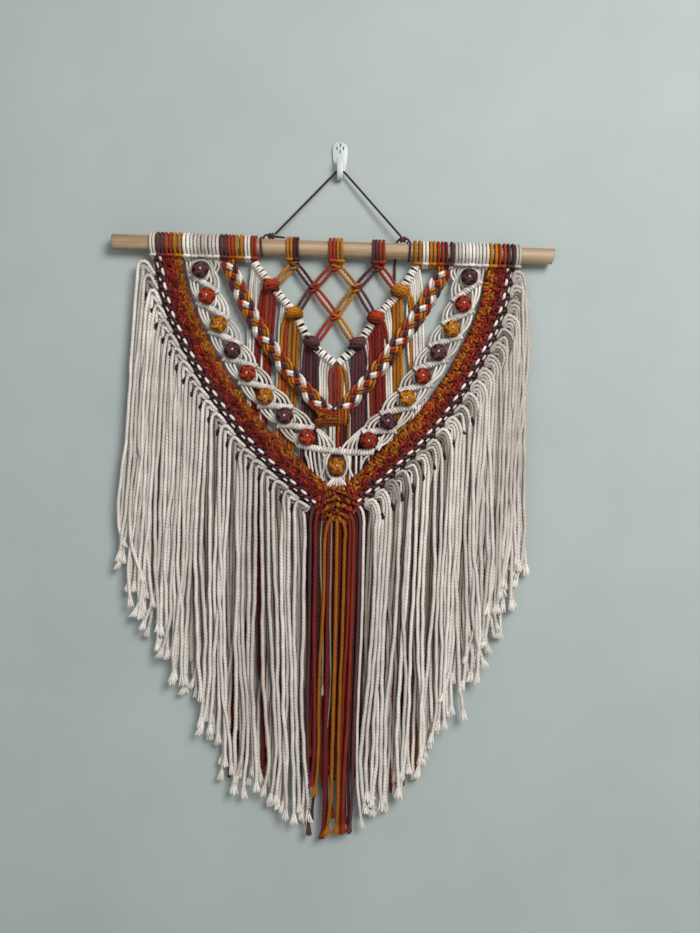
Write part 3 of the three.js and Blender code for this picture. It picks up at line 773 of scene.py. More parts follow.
def add_chain_berry(name, colour):
    """A berry knot: fat arcs that cross like a pinwheel round a pale cord end in the middle of a ball. Arcs
    round the rim and a dark core paint the shade of the ball's edge and of its gaps, and the pale end also
    paints its highlight.
    """
    (x, depth, z), (half, deep, _) = berry_box(name)
    section = Section(name.replace("chain_berry", "berry"), name)
    radius, arcs = 2.2, 5
    ball, flat = half + 1.1 - radius, deep - radius
    first = draws.uniform(0, 2 * math.pi)
    for i in range(arcs):
        way = first + 2 * math.pi * i / arcs + draws.normal(0, 0.08)
        share = np.linspace(-1, 1, 11)
        lengthways = ball * np.sin(share * 0.52 * math.pi)
        aside = 2.7 * np.cos(share * 0.4 * math.pi)
        route = np.stack([x + lengthways * math.cos(way) - aside * math.sin(way),
                          depth + flat * np.cos(share * 0.52 * math.pi) + 0.9 * np.sin(share * math.pi),
                          z + lengthways * math.sin(way) + aside * math.cos(way)], axis=-1)
        thick = radius * (1 + 0.06 * draws.normal())
        section.cord(colour, route, thick, coarse=0.8, tone=draws.uniform(0.4, 1.0))
    # Arcs round the rim at low tones: painted shade at the ball's edge.
    for way in np.arange(8) * math.pi / 4:
        shade_rim = [(x + ball * 0.97 * math.cos(way + turn), depth - 0.5 + 1.2 * math.sin(turn * 4),
                z + ball * 0.97 * math.sin(way + turn)) for turn in (-0.5, -0.2, 0.2, 0.5)]
        section.cord(colour, shade_rim, radius * 0.95, coarse=0.8, tone=draws.uniform(0.0, 0.5))
    # A core of the same colour at the darkest tone fills the gaps between the arcs: real cord, painted as
    # shade.
    section.cord(colour, [(x, depth, z + up) for up in (4.2, 2, -2, -4.2)], 4.2, tone=0.0)
    # The pale cord end is a real end of white cord and a painted highlight in the middle of the ball.
    nub_x, nub_z = x + draws.normal(0, 0.4), z + 0.5 + draws.normal(0, 0.4)
    front = depth + deep - 0.9
    highlight_nub = [(nub_x, front - 2, nub_z - 0.6), (nub_x, front - 0.4, nub_z - 0.3), (nub_x, front + 0.2, nub_z)]
    section.cord("white", highlight_nub, 1.35, coarse=0.6, cut=True, tone=0.55)
    section.make()


CHAIN_CORD = 1.42  # radius
CHAIN_PITCH = 2.9  # of the hitches on the chain's ridges

# Cords of one unit of the chain, each place as (share of the way to the next berry, distance inwards, depth)
CHAIN_OUTER = [
    [(0.08, -10.6, 9.4), (0.18, -12.8, 10.0), (0.42, -14.2, 10.2), (0.66, -13.9, 10.0), (0.88, -12.2, 9.4),
     (1.06, -11.2, 8.6)],
    [(0.17, -8.2, 9.0), (0.31, -10.2, 10.4), (0.48, -11.0, 10.8), (0.68, -11.0, 10.6), (0.86, -10.4, 9.8),
     (1.0, -10.2, 8.8)],
    [(0.31, -4.6, 9.0), (0.43, -6.8, 10.4), (0.57, -7.9, 11.2), (0.71, -8.6, 11.0), (0.86, -9.4, 9.6)],
]
CHAIN_INNER = [
    [(-0.04, 11.2, 9.0), (0.16, 13.2, 10.0), (0.42, 14.6, 10.4), (0.62, 14.0, 10.6), (0.82, 12.0, 10.2),
     (0.93, 9.6, 9.4)],
    [(0.04, 9.4, 9.0), (0.24, 10.6, 10.4), (0.44, 11.2, 10.8), (0.60, 10.2, 11.0), (0.73, 8.0, 10.4),
     (0.80, 6.4, 9.2)],
    [(0.18, 7.6, 9.0), (0.34, 7.8, 10.8), (0.46, 7.2, 11.2), (0.56, 5.6, 11.0), (0.63, 3.6, 9.2)],
]
# Short cords that fill the corner between a berry and the ridge under it
CHAIN_CORNER = [
    [(0.02, 8.4, 8.6), (0.17, 6.6, 10.2), (0.30, 4.4, 10.6), (0.36, 1.2, 9.2)],
    [(0.10, 5.6, 8.6), (0.20, 3.8, 10.0), (0.26, 1.0, 9.4), (0.27, -2.0, 8.8)],
    [(0.14, 1.4, 8.6), (0.18, -1.6, 9.6), (0.16, -5.0, 9.2)],
]
# Cords from the dowel to the first berry, each place as (distance inwards, depth, height above the berry)
CHAIN_TOP = [
    [(-15.5, 10, 10), (-14.6, 10, 4), (-13.2, 9.8, -4), (-12, 9.2, -11)],
    [(-11.5, 10, 10), (-11.4, 10, 3), (-11.2, 9.8, -4), (-11, 9.0, -9)],
    [(-10.4, 9.6, -3), (-9.9, 11, 3.4), (-6.6, 12.4, 8.6), (0, 12.8, 10.8), (6.4, 12.4, 8.8), (9.8, 11.4, 4),
     (11.4, 9.6, -2)],
    [(-8, 10, 11), (-9.6, 10.6, 6.4), (-10.0, 10.4, 2)],
    [(-1, 10, 13), (4, 11.4, 12.4), (8.6, 11.4, 10.4), (11.2, 10.4, 6.4), (11.6, 10, 0), (10.8, 9.4, -6)],
    [(7.5, 10, 12.8), (11.4, 11, 12.4), (14.6, 11, 9), (14.4, 10.6, 4), (12.2, 10.2, -1), (12.6, 9.8, -6),
     (14.4, 9.2, -10)],
    [(13.5, 10, 11.4), (17, 10.4, 9), (18.2, 10.2, 4), (15.6, 9.8, -1), (13.9, 9.4, -5)],
    [(18.5, 10, 12), (18.6, 9.4, 9), (20.6, 9.2, 4), (24, 9, -1)],
]
# Cords from the last berry to the foot
CHAIN_END = [
    [(1.5, 9.4, 16.0), (9.8, 10.4, 9.6), (18.8, 10.8, 1.6), (25.5, 10.4, -5.5), (28.0, 9.4, -11.0)],
    [(4.5, 9.6, 11.4), (12.0, 10.6, 5.2), (19.2, 11.0, -2.0), (22.6, 9.8, -10.5)],
    [(8.6, 9.6, 7.6), (13.6, 10.8, 1.6), (16.6, 10.4, -4.6), (17.6, 9.4, -11.0)],
    [(10.6, 9.2, 3.6), (12.2, 10.4, -3.4), (12.8, 9.4, -10.4)],
    [(-10.6, 9.4, 3.4), (-11.2, 10.2, -2.2), (-8.0, 10.0, -8.4)],
    [(-13.0, 9.4, 4.2), (-13.8, 10.2, -2.8), (-10.0, 10.0, -10.4)],
]
# Half of the cords round the berry of the foot; the other half mirrors them
CHAIN_FOOT = [
    [(1, 10, 17), (6.2, 11, 13.4), (10, 11.4, 6.4), (10.6, 11.4, -1), (8.6, 11.2, -8.4), (4.6, 10.8, -13.6),
     (1.5, 10, -17)],
    [(2.5, 9.6, 19), (9.6, 10.4, 13), (13.2, 10.8, 6), (12.6, 11, 0), (14.2, 10.8, -6), (17.2, 9.6, -12),
     (18.6, 8.6, -17)],
    [(14.8, 9.6, 16), (13.4, 10.2, 11), (11.4, 10, 6.4)],
]
# Cords from the bar of the foot down to the band: x at the top, x and z of the low end
CHAIN_FALLS = [(-35.4, -32.2, -328), (-31.0, -28.4, -333), (-26.8, -23.2, -338), (-22.0, -17.6, -343),
               (10.6, 9.6, -345), (16.6, 16.4, -340), (22.0, 21.4, -333), (29.4, 21.6, -328)]
FOOT_BAR = [[-43, -305], [-23, -309], [-3.5, -311.6], [18, -312.8], [35, -312]]
# Middle of each slanted ridge, as (share of the way to the next berry, distance inwards)
CHAIN_RIDGE = [(0.02, -12.6), (0.15, -8.4), (0.34, -3.4), (0.52, 0.8), (0.70, 4.8), (0.84, 8.0), (0.95, 11.0)]


def hitch_row(section, colour, line, pitch, depth, reach, thick, radius, lean=0.5):
    """Turns of cord side by side along a whole line."""
    turns = max(1, round(line.length / pitch))
    for k in range(turns):
        hitch(section, colour, line, (k + 0.5) * line.length / turns, 0, depth, reach, thick, lean, radius)


def add_chain(side):
    """White chain: at each berry a slanted ridge of hitches, with nested cords on both sides of it."""
    names = [f"chain_berry_{side}_{i + 1}" for i in range(8)]
    middles = [berry_box(name)[0][[0, 2]] for name in names]
    hand = 1 if side == "left" else -1
    section = Section(f"chain_{side}", f"chain_{side}")
    for here, following in zip(middles, middles[1:]):
        step = following - here
        inward = np.array([-step[1], step[0]]) * hand / np.linalg.norm(step)

        def local(share, sideways):
            return here + step * share + inward * sideways

        for strand in CHAIN_OUTER + CHAIN_INNER + CHAIN_CORNER:
            route = [(*local(share, sideways), depth) for share, sideways, depth in strand]
            section.cord("white", np.array(route)[:, [0, 2, 1]], CHAIN_CORD)
        ridge = Line([local(*place) for place in CHAIN_RIDGE])
        hitch_row(section, "white", ridge, CHAIN_PITCH, 11.2, 2.3, 2.4, 1.75, lean=1.2)
    cords_round(section, middles[-1], hand, CHAIN_END)
    cords_round(section, middles[0], hand, CHAIN_TOP)
    section.make()
    for i, name in enumerate(names):
        add_chain_berry(name, ("plum", "rust", "mustard")[i % 3])


def cords_round(section, middle, hand, routes):
    """White cords beside a berry, whose places are (distance inwards, depth, height above its middle)."""
    x, z = middle
    for route in routes:
        section.cord("white", [(x + hand * inward, depth, z + up) for inward, depth, up in route], CHAIN_CORD)


def add_chain_foot():
    """Foot of the chain: a ridge across it, cords down to the band, and cords round the last berry."""
    section = Section("chain_foot", "chain_foot")
    (x, _, z), _ = berry_box("chain_berry_foot")
    hitch_row(section, "white", Line(FOOT_BAR), CHAIN_PITCH, 10.8, 2.3, 2.8, 1.65)
    for top, low, foot in CHAIN_FALLS:
        fall = [(top, 9.8, -309), (top + 0.1, 10.2, -316), (0.5 * (top + low), 10.2, foot + 9),
                (low, 9.4, foot), (low, 8.4, foot - 6)]
        section.cord("white", fall, CHAIN_CORD)
    for hand in (-1, 1):
        cords_round(section, (x, z), hand, CHAIN_FOOT)
    for i in range(7):
        share = (i - 3) / 3
        fan = ((3.0, 10.4, -12), (6.6, 11, -16.5), (10.4, 10.6, -21.5), (11.4, 9.0, -27))
        section.cord("white", [(x + aside * share, depth, z + up) for aside, depth, up in fan], CHAIN_CORD)
    section.make()
    add_chain_berry("chain_berry_foot", "mustard")


# Strokes of one unit of the edging: share of the unit after its white dash, distance inwards, reach along the
# seam and across it on either side, radius, colour and tone
EDGING_STROKES = [
    (0.50, -4.1, 2.7, 0.3, 1.15, "white", 0.8), (0.02, -3.5, 1.4, 1.9, 1.8, "plum", 0.9),
    (0.27, -2.2, 1.5, -1.2, 1.6, "plum", 0.3), (0.50, -0.9, 1.6, 1.2, 1.75, "plum", 0.7),
    (0.74, -2.5, 1.6, 1.3, 1.6, "plum", 0.2), (0.20, -5.6, 1.6, 0.8, 1.3, "plum", 0.1),
    (0.82, -5.6, 1.6, -0.6, 1.3, "plum", 0.0),
]
# Rows of knots of the band, from the edging inwards: distance inwards, and the colours that take turns
BAND_ROWS = {
    "left": [
        (2.8, ("burgundy", "burgundy", "plum", "burgundy")), (5.8, ("burgundy", "burgundy", "rust")),
        (8.8, ("burgundy", "rust", "rust", "burgundy")), (11.7, ("rust", "rust", "burgundy")),
        (14.5, ("rust", "mustard", "mustard", "rust")), (17.1, ("mustard", "rust", "mustard", "mustard")),
        (19.3, ("mustard", "rust", "mustard", "mustard")),
    ],
    "right": [
        (3.3, ("burgundy", "plum", "burgundy", "rust")), (7.3, ("burgundy", "rust", "burgundy", "burgundy")),
        (11.2, ("rust", "mustard", "rust", "rust", "burgundy")), (15.1, ("mustard", "rust", "mustard")),
        (18.8, ("rust", "mustard", "rust", "mustard", "mustard")),
    ],
}
# How a band's knots lie: how many of a row fall to one unit, reach along the seam, reach across it, radius,
# how much they stray, and the range of their tones
BAND_KNOTS = {
    "left": (3.5, 1.85, 0.6, 1.85, 0.5, (0.0, 0.8)),
    "right": (4, 1.15, 1.25, 1.88, 0.65, (0.15, 1.0)),
}


def stroke(section, colour, line, distance, inward, along, across, radius, top, tone=None, low=9.0):
    """A short piece of a cord that shows on the surface and dips under it at both ends."""
    share = np.array([-1.5, -1.05, -0.5, 0.5, 1.05, 1.5])
    rise = np.array([0.0, 0.62, 0.96, 1.0, 0.62, 0.0])
    route = line.spots(distance + along * share, inward + across * share, low + (top - low) * rise)
    section.cord(colour, route, radius, coarse=0.75, tone=tone)


def add_band(side):
    """The band: strokes of knotted cord along the seam, with white dashes on it and a plum edging."""
    line = Line(SEAM[side])
    first, count = DASHES[side]
    pitch = (line.length - first) / (count - 1)
    band = Section(f"band_{side}", f"band_{side}")
    edging = Section(f"edging_{side}", f"edging_{side}")
    for k in range(count):
        start = first + k * pitch
        stroke(edging, "white", line, start, 0.15 * draws.normal(), 2.5, 0.3, 1.55, 14.6, tone=1.0)
        for place, inward, along, across, radius, colour, tone in EDGING_STROKES:
            stroke(edging, colour, line, start + place * pitch + 0.3 * draws.normal(),
                   inward + 0.2 * draws.normal(), along, across, radius, 12.6 + 0.5 * draws.normal(), tone)
    share, along, across, radius, rough, tones = BAND_KNOTS[side]
    for row, (inward, colours) in enumerate(BAND_ROWS[side]):
        for k in range(int(share * (line.length + 2) / pitch)):
            distance = (k + 0.5 * (row % 2)) * pitch / share + rough * draws.normal()
            turned = rough * draws.normal()
            lean = across * (-1) ** (k + row)
            colour = colours[(k + (draws.uniform() < 0.3)) % len(colours)]
            stroke(band, colour, line, distance, inward + 0.5 * rough * draws.normal(),
                   along * math.cos(turned) - lean * math.sin(turned),
                   along * math.sin(turned) + lean * math.cos(turned),
                   radius * (1 + 0.08 * draws.normal()), 13.0 + rough * draws.normal(),
                   tone=draws.uniform(*tones) * (0.65 if colour == "mustard" else 1))
    along = np.linspace(0, line.length, 40)
    band.cord("rust", line.spots(along, 20.2 + 0.3 * np.sin(along * 0.2), 11.0), 1.5, tone=0.1)
    # Rows of cord under the knots at the darkest tone: real cords, painted as the shade between the knots.
    fillers = ((band, "burgundy", (1.8, 5.0, 8.2)), (band, "rust", (11.4, 14.6, 17.8)),
               (edging, "plum", (-5.2, -1.6)))
    for section, colour, rows in fillers:
        for inward in rows:
            section.cord(colour, line.spots(along, inward, 9.2), 1.9, tone=0.0)
    band.make()
    edging.make()


# Rows of strokes of the middle knot: start, end, and which colour of the mix comes first
MIDDLE_ROWS = [
    ([-24, -362], [-4, -352], 0), ([18, -361], [-3, -352], 3), ([-26, -369], [-3, -358], 5),
    ([19, -368], [-3, -359], 1), ([-24, -375.5], [-3, -365.5], 4), ([15, -374.5], [-3, -366], 6),
    ([-19, -381], [-3, -373], 2), ([11, -380.5], [-3, -374], 1), ([-13, -386], [-3, -380], 3),
    ([7, -386], [-3, -381], 1), ([-10, -349.5], [4, -349], 1),
]
MIDDLE_MIX = ["mustard", "rust", "mustard", "rust", "mustard", "mustard", "rust", "burgundy"]
MIDDLE_PITCH = 2.9
MIDDLE_X = -3   # middle of the knot and of the front tassel


def add_middle_knot():
    """Where the two bands meet: crossing strokes in their colours."""
    section = Section("middle_knot", "middle_knot")
    for start, end, first in MIDDLE_ROWS:
        line = Line([start, end])
        for k in range(int(line.length / MIDDLE_PITCH) + 1):
            distance = (k + 0.3) * MIDDLE_PITCH
            if abs(line.place(distance)[0] - MIDDLE_X) < 11:
                colour = MIDDLE_MIX[(first + k) % len(MIDDLE_MIX)]
            else:
                colour = str(draws.choice(["rust", "burgundy", "rust"]))
            turned = 0.6 * draws.normal() + 0.9
            stroke(section, colour, line, distance + 0.5 * draws.normal(), 0.8 * draws.normal(),
                   1.6 * math.cos(turned), 1.6 * math.sin(turned), 1.65 + 0.12 * draws.normal(),
                   14.2 + 0.8 * draws.normal(), low=9.4,
                   tone=draws.uniform(0.1, 0.65) if colour == "mustard" else draws.uniform(0.2, 1.0))
    # Rust fillers under the strokes at the darkest tone: real cord, painted as the shade between them.
    for z in range(-353, -384, -5):
        wide = 21 - max(0, -368 - z) * 0.9
        filler = [(MIDDLE_X - wide, 9.6, z - 2), (-12, 10.6, z), (MIDDLE_X, 11, z + 0.5), (6, 10.6, z),
                  (MIDDLE_X + wide, 9.6, z - 2)]
        section.cord("rust", filler, 2.1, tone=0.0)
    section.make()


# Strands of the swag: colour, radius of a cord, and half the distance between the two of a pair
SWAG_STRANDS = [("white", 2.0, 1.35), ("rust", 1.75, 1.6), ("mustard", 1.75, 1.75), ("plum", 1.75, 1.6)]
SWAG_CORD = 1.8  # radius of the cords of the tie
# Cords of the tie: colour, tone and route
SWAG_TIE = [
    ("rust", 0.5, [(-29, 11, -261), (-21, 14.4, -268.6), (-12, 15.4, -271.8), (-2, 15.4, -272),
                   (4, 13, -271.4)]),
    ("mustard", 0.2, [(-26, 12, -267), (-19, 14.6, -272.8), (-9, 16, -275), (0, 15.8, -275.2),
                      (4, 13, -275)]),
    ("mustard", 0.3, [(-25.4, 10, -282.4), (-24, 13.6, -279.6), (-15, 15.8, -278.2), (0, 15.8, -278.4),
                      (4, 13, -278.4)]),
    ("mustard", 0.0, [(-24.6, 9, -291), (-24.6, 12, -286.6), (-22, 14.4, -282.6), (-13, 15.2, -281.6),
                      (0, 15.2, -281.8), (4, 13, -281.6)]),
    ("rust", 0.2, [(-21.2, 9, -290), (-21.4, 11.6, -286.4), (-17, 13.6, -284.2), (-9, 14, -284),
                   (0, 13, -284)]),
    ("mustard", 0.3, [(-1.2, 10, -268), (-0.8, 15.8, -269.6), (-0.6, 17.6, -274), (-0.8, 16.8, -281),
                      (-1.6, 11, -285.4)]),
    ("rust", 0.8, [(2, 10, -267), (2.2, 16.2, -268.8), (2.4, 18, -273.4), (2, 16.8, -280.6),
                   (1.4, 11, -285)]),
    ("mustard", 0.5, [(5.4, 10, -267), (5.8, 15.6, -269), (6, 17, -273.6), (5.4, 15.8, -280.4),
                      (4.8, 11, -284.6)]),
    ("mustard", 0.1, [(8.4, 10, -268), (8.8, 14.4, -271), (8.8, 15, -276), (8.6, 12.6, -282)]),
]
SWAG_WRAPS = [[-23, -276.8], [-12, -277], [-1, -277.2]]
# Ends that fall out of the tie: colour, x, z of the foot, tone and depth
SWAG_FALLS = [
    ("mustard", -1.4, -294, 0.4, 12.8), ("rust", -1.8, -303, 0.8, 11.6), ("burgundy", 1.8, -303, 0.5, 11.6),
    ("plum", 4.6, -303, 0.1, 11.6), ("mustard", 8.4, -304, 0.3, 11.6), ("white", -9.8, -304, 0.8, 11.6),
    ("white", -6.2, -302, 0.6, 11.6),
]


def add_swag():
    """The swag: a flat braid of four strands, each a pair of cords, and the tie at its lowest point."""
    section = Section("swag", "swag")
    for points in SWAG_LINE.values():
        line = Line(points)
        marks = [place_on(line, (x, 0, z)) for x, z in points[1:-1]]
        slow = (marks[-1] - marks[0]) / (len(marks) - 1)
        marks = [marks[0] - slow, *marks, marks[-1] + slow]
        distance = np.arange(0, line.length, 2.0)
        turns = np.interp(distance, marks, np.arange(len(marks)))
        for strand, (colour, radius, apart) in enumerate(SWAG_STRANDS):
            phase = 2 * math.pi * (turns - strand / len(SWAG_STRANDS))
            across = SWAG["reach"] * np.sin(phase)
            depth = SWAG["depth"] + SWAG["thick"] * np.cos(3 * phase)
            slope = np.gradient(across, distance)
            spread = apart / np.sqrt(1 + slope**2)
            for k in (-1, 1):
                route = line.spots(distance - k * spread * slope, across + k * spread, depth)
                section.cord(colour, route, radius, coarse=0.9, tone=0.7 + 0.3 * k)
    for colour, tone, route in SWAG_TIE:
        section.cord(colour, route, SWAG_CORD, tone=tone)
    wraps = Line(SWAG_WRAPS)
    for k in range(4):
        stroke(section, ("mustard", "rust")[k % 2], wraps, 3 + 4.6 * k, 2.4 - 1.6 * (k % 3),
               1.4, 1.3, 1.5, 18.0, tone=0.4, low=14.0)
    for colour, x, foot, tone, depth in SWAG_FALLS:
        fall = [(x, depth - 1, -277), (x, depth, -282), (x - 0.2, depth - 1.6, 0.5 * (foot - 286)),
                (x - 0.3, 7.4, foot), (x - 0.3, 6.4, foot - 5)]
        section.cord(colour, fall, SWAG_CORD, cut=True, tone=tone)
    section.make()


RIDGE_PAIR = 6.9     # pitch of the pairs of hitches on the ridge
BERRY_CLEAR = 6.0    # stretch of the ridge on each side of a berry's middle that has no hitches


def add_ridge():
    """White ridge of the V: hitches in pairs over a plum cord, which shows between the pairs at the darkest
    tone and so also paints the shade in the slits.
    """
    section = Section("v_ridge", "v_ridge")
    drops = []
    for side in ("left", "right"):
        line = Line(RIDGE[side])
        clear = [place_on(line, berry_box(f"v_berry_{side}_{i + 1}")[0]) for i in range(3)]
        stops = [0.0, *clear, line.length]
        for start, end in zip(stops, stops[1:]):
            low = start + (BERRY_CLEAR if start > 0 else 0)
            high = end - (BERRY_CLEAR if end < line.length else 0)
            pairs = max(1, round((high - low) / RIDGE_PAIR))
            pitch = (high - low) / pairs
            for k in range(pairs):
                middle = low + (k + 0.5) * pitch
                for turn in (-1, 1):
                    hitch(section, "white", line, middle + turn * 1.3, 0.0, 9.6, 3.3, 2.7, lean=-turn * 0.25,
                          radius=1.55, tone=1.0)
                    drops.append((line, middle + turn * pitch * 0.25, side))
                # A plum stroke at the darkest tone in the slit between pairs: real cord and painted shade.
                if k:
                    stroke(section, "plum", line, middle - pitch / 2, 0.9, 0.1, 1.5, 0.9, 12.2, tone=0.0)
        # The plum holding cord, at the darkest tone: real cord and painted shade between the pairs.
        section.cord("plum", line.spots(np.linspace(0, line.length, 12), 0.4, 8.6), 1.6, tone=0.0)
        section.cord("white", line.spots(np.linspace(0, line.length, 12), -2.6, 8.4), 1.5, tone=0.3)
    section.make()
    return drops


def place_on(line, spot):
    """How far along a line the place nearest a spot is."""
    away = np.linalg.norm(line.curve - np.array([spot[0], spot[2]]), axis=1)
    return line.run[int(np.argmin(away))]


# Wraps of a berry knot of the V: place along it, reach, thickness and tone; the wraps furthest down have the
# lowest tones, painted shade on the knot's lower end
V_BERRY_WRAPS = [(2.6, 4.6, 3.4, 0.8), (5.0, 6.6, 5.4, 1.0), (7.6, 7.0, 6.2, 0.8), (10.2, 6.6, 5.6, 0.4),
                 (12.6, 5.0, 4.2, 0.1)]


def add_v_berry(name, colour, tilt):
    """A berry knot of the V: a lumpy block of fat wraps that lie along the ridge."""
    (x, depth, z), _ = berry_box(name)
    section = Section(name, name)
    up = (math.sin(tilt), math.cos(tilt))
    core = Line([[x + up[0] * 8, z + up[1] * 8], [x - up[0] * 8, z - up[1] * 8]])
    for place, reach, thick, tone in V_BERRY_WRAPS:
        hitch(section, colour, core, place + 0.3 * draws.normal(), 0.5 * draws.normal(), depth - 2.2, reach,
              thick, lean=1.3 + 0.8 * draws.normal(), radius=2.1 + 0.15 * draws.normal(), tone=tone)
    # A core at the darkest tone fills the knot: real cord, painted as the shade between the wraps.
    section.cord(colour, core.spots([3, 6, 10, 13], 0, depth - 2.4), 4.4, tone=0.0)
    for side in (-1, 1):
        lump = core.spots([4, 7.5, 11], side * np.array([5.4, 6.6, 5.2]), depth + np.array([-0.6, 1.4, -1.0]))
        section.cord(colour, lump, 1.9, tone=draws.uniform(0.2, 0.9))
    section.make()


# ---------------------------------------------------------------- hanging cords

def wander(levels, count, least, longest, waves):
    """Slow uneven waves down each of some cords, whose longest wave and least share are given."""
    return sum(draws.uniform(least, 1.0, count) / n
               * np.sin(2 * math.pi * (n * levels / longest + draws.uniform(0, 1, count)))
               for n in range(1, waves + 1))


class Hanging:
    """Cords that hang side by side and settle against each other between two depths."""

    STEP = 11.0    # between levels
    PUSH = 0.3     # share of an overlap that cords give way at a time
    PULL = 0.06    # share of the way back to where a cord wants to be
    CLOSE = 0.98   # how near two cords come, as a share of the sum of their radii

    def __init__(self, back, front, bow):
        self.back, self.front, self.bow = back, front, bow
        self.cords = []

    def add(self, colour, lead, foot, depth, radius, sway=2.2, kick=0.0, tone=None, tip=None, plain=False):
        """lead is how the cord arrives, its last place the start of its fall, and foot is [x, z] of its end.

        A plain cord lies in shadow: it is neither twisted nor frayed.
        """
        self.cords.append({"colour": colour, "lead": lead, "foot": foot, "depth": depth, "radius": radius,
                           "sway": sway, "kick": kick, "tone": tone, "tip": tip, "plain": plain})

    def settle(self, rounds=60):
        """Lets the cords push each other aside at every level, and keeps what they become."""
        x_top, d_top, tops = np.array([cord["lead"][-1] for cord in self.cords], float).T
        x_foot, feet = np.array([cord["foot"] for cord in self.cords], float).T
        rest, radius, sway, kick = np.array([[cord[key] for cord in self.cords]
                                             for key in ("depth", "radius", "sway", "kick")])
        count = len(self.cords)
        levels = np.arange(tops.max(), feet.min() - self.STEP, -self.STEP)[:, None]
        fall = np.clip((tops - levels) / (tops - feet), 0, 1)
        swing = sway * wander(levels, count, 0.4, 420, 4) * np.minimum(1, 2.5 * fall) * (0.6 + 0.8 * fall)
        want_x = x_top + (x_foot - x_top) * (1 - (1 - fall) ** self.bow) + swing
        ease = np.exp(-np.maximum(tops - levels, 0) / 30)
        roll = wander(levels, count, 0.2, 500, 2)
        want_d = np.clip(rest + (d_top - rest) * ease + roll, self.back, self.front)
        alive = (levels <= tops + self.STEP) & (levels >= feet - self.STEP)
        both = alive[:, :, None] & alive[:, None, :] & ~np.eye(count, dtype=bool)
        apart = (radius[:, None] + radius[None, :]) * self.CLOSE
        x, d = want_x.copy(), want_d.copy()
        for _ in range(rounds):
            dx = x[:, :, None] - x[:, None, :]
            dd = d[:, :, None] - d[:, None, :]
            dd = np.where(np.abs(dd) < 1e-3, 1e-3, dd)
            gap = np.hypot(dx, dd)
            push = np.where(both & (gap < apart), (apart - gap) / np.maximum(gap, 0.05), 0) * self.PUSH
            x = x + (push * dx).sum(2) + self.PULL * (want_x - x)
            d = np.clip(d + (push * dd).sum(2) + self.PULL * (want_d - d), self.back, self.front)
            for places in (x, d):
                places[1:-1] = 0.5 * places[1:-1] + 0.25 * (places[:-2] + places[2:])
        x = x + kick * np.clip(1 - (levels - feet) / 45, 0, 1.2) ** 2
        for wave in (34, 55):
            ripple = np.sin(2 * math.pi * (levels / wave + draws.uniform(0, 1, count)))
            x = x + 0.28 * sway / 4 * ripple * fall**0.5
        self.levels, self.x, self.d = levels[:, 0], x, d

    def route(self, index):
        """A settled cord's places, from its lead to its foot."""
        cord = self.cords[index]
        start, foot = cord["lead"][-1][2] - 0.7 * self.STEP, cord["foot"][1]
        rows = [i for i, z in enumerate(self.levels) if foot + 3 < z < start]
        places = [tuple(place) for place in cord["lead"]]
        places += [(self.x[i, index], self.d[i, index], self.levels[i]) for i in rows]
        last_x, last_d = (np.interp(-foot, -self.levels, settled[:, index]) for settled in (self.x, self.d))
        return places + [(last_x, last_d, foot)]

    def draw(self, section, coarse, frayed):
        for index, cord in enumerate(self.cords):
            colour, radius, plain = cord["colour"], cord["radius"], cord["plain"]
            route = self.route(index)
            tone = draws.uniform(0.4, 1) if cord["tone"] is None else cord["tone"]
            tip = tone if cord["tip"] is None else cord["tip"]
            section.cord(colour, route, radius, coarse=2.4 if plain else coarse, cut=plain or not frayed,
                         tone=tone, tip=tip, twisted=not plain)
            if frayed and not plain:
                fray(section, colour, np.array(route[-2]), np.array(route[-1]), radius, tip)


def fray(section, colour, before, end, radius, tone):
    """The cut end of a cord: a small brush of yarns that part and curl a little."""
    down = unit(end - before)
    size = draws.uniform(6.0, 9.0)
    aside = np.array([draws.normal(0, 0.25), 0.0, 0.0])
    for i in range(13):
        ring = 1.0 if i < 8 else 0.45
        angle = 2 * math.pi * i / 8 + draws.normal(0, 0.25)
        out = ring * np.array([math.cos(angle), 0.7 * math.sin(angle), 0.0])
        spread = draws.uniform(0.35, 1.0)
        length = size * draws.uniform(0.75, 1.1)
        route = [end - down * 3.0 + out * radius * 0.55, end + out * radius * 0.7,
                 end + down * length * 0.5 + out * radius * (0.9 + 0.3 * spread) + 0.8 * aside,
                 end + down * length + out * radius * (0.95 + 0.9 * spread) + 2.2 * aside]
        section.colours[colour].add(route, radius * 0.42, coarse=3.4, tone=min(1.0, tone + 0.3), cut=True,
                                    swell=[0.9, 1.0, 0.95, 0.6], twisted=False)


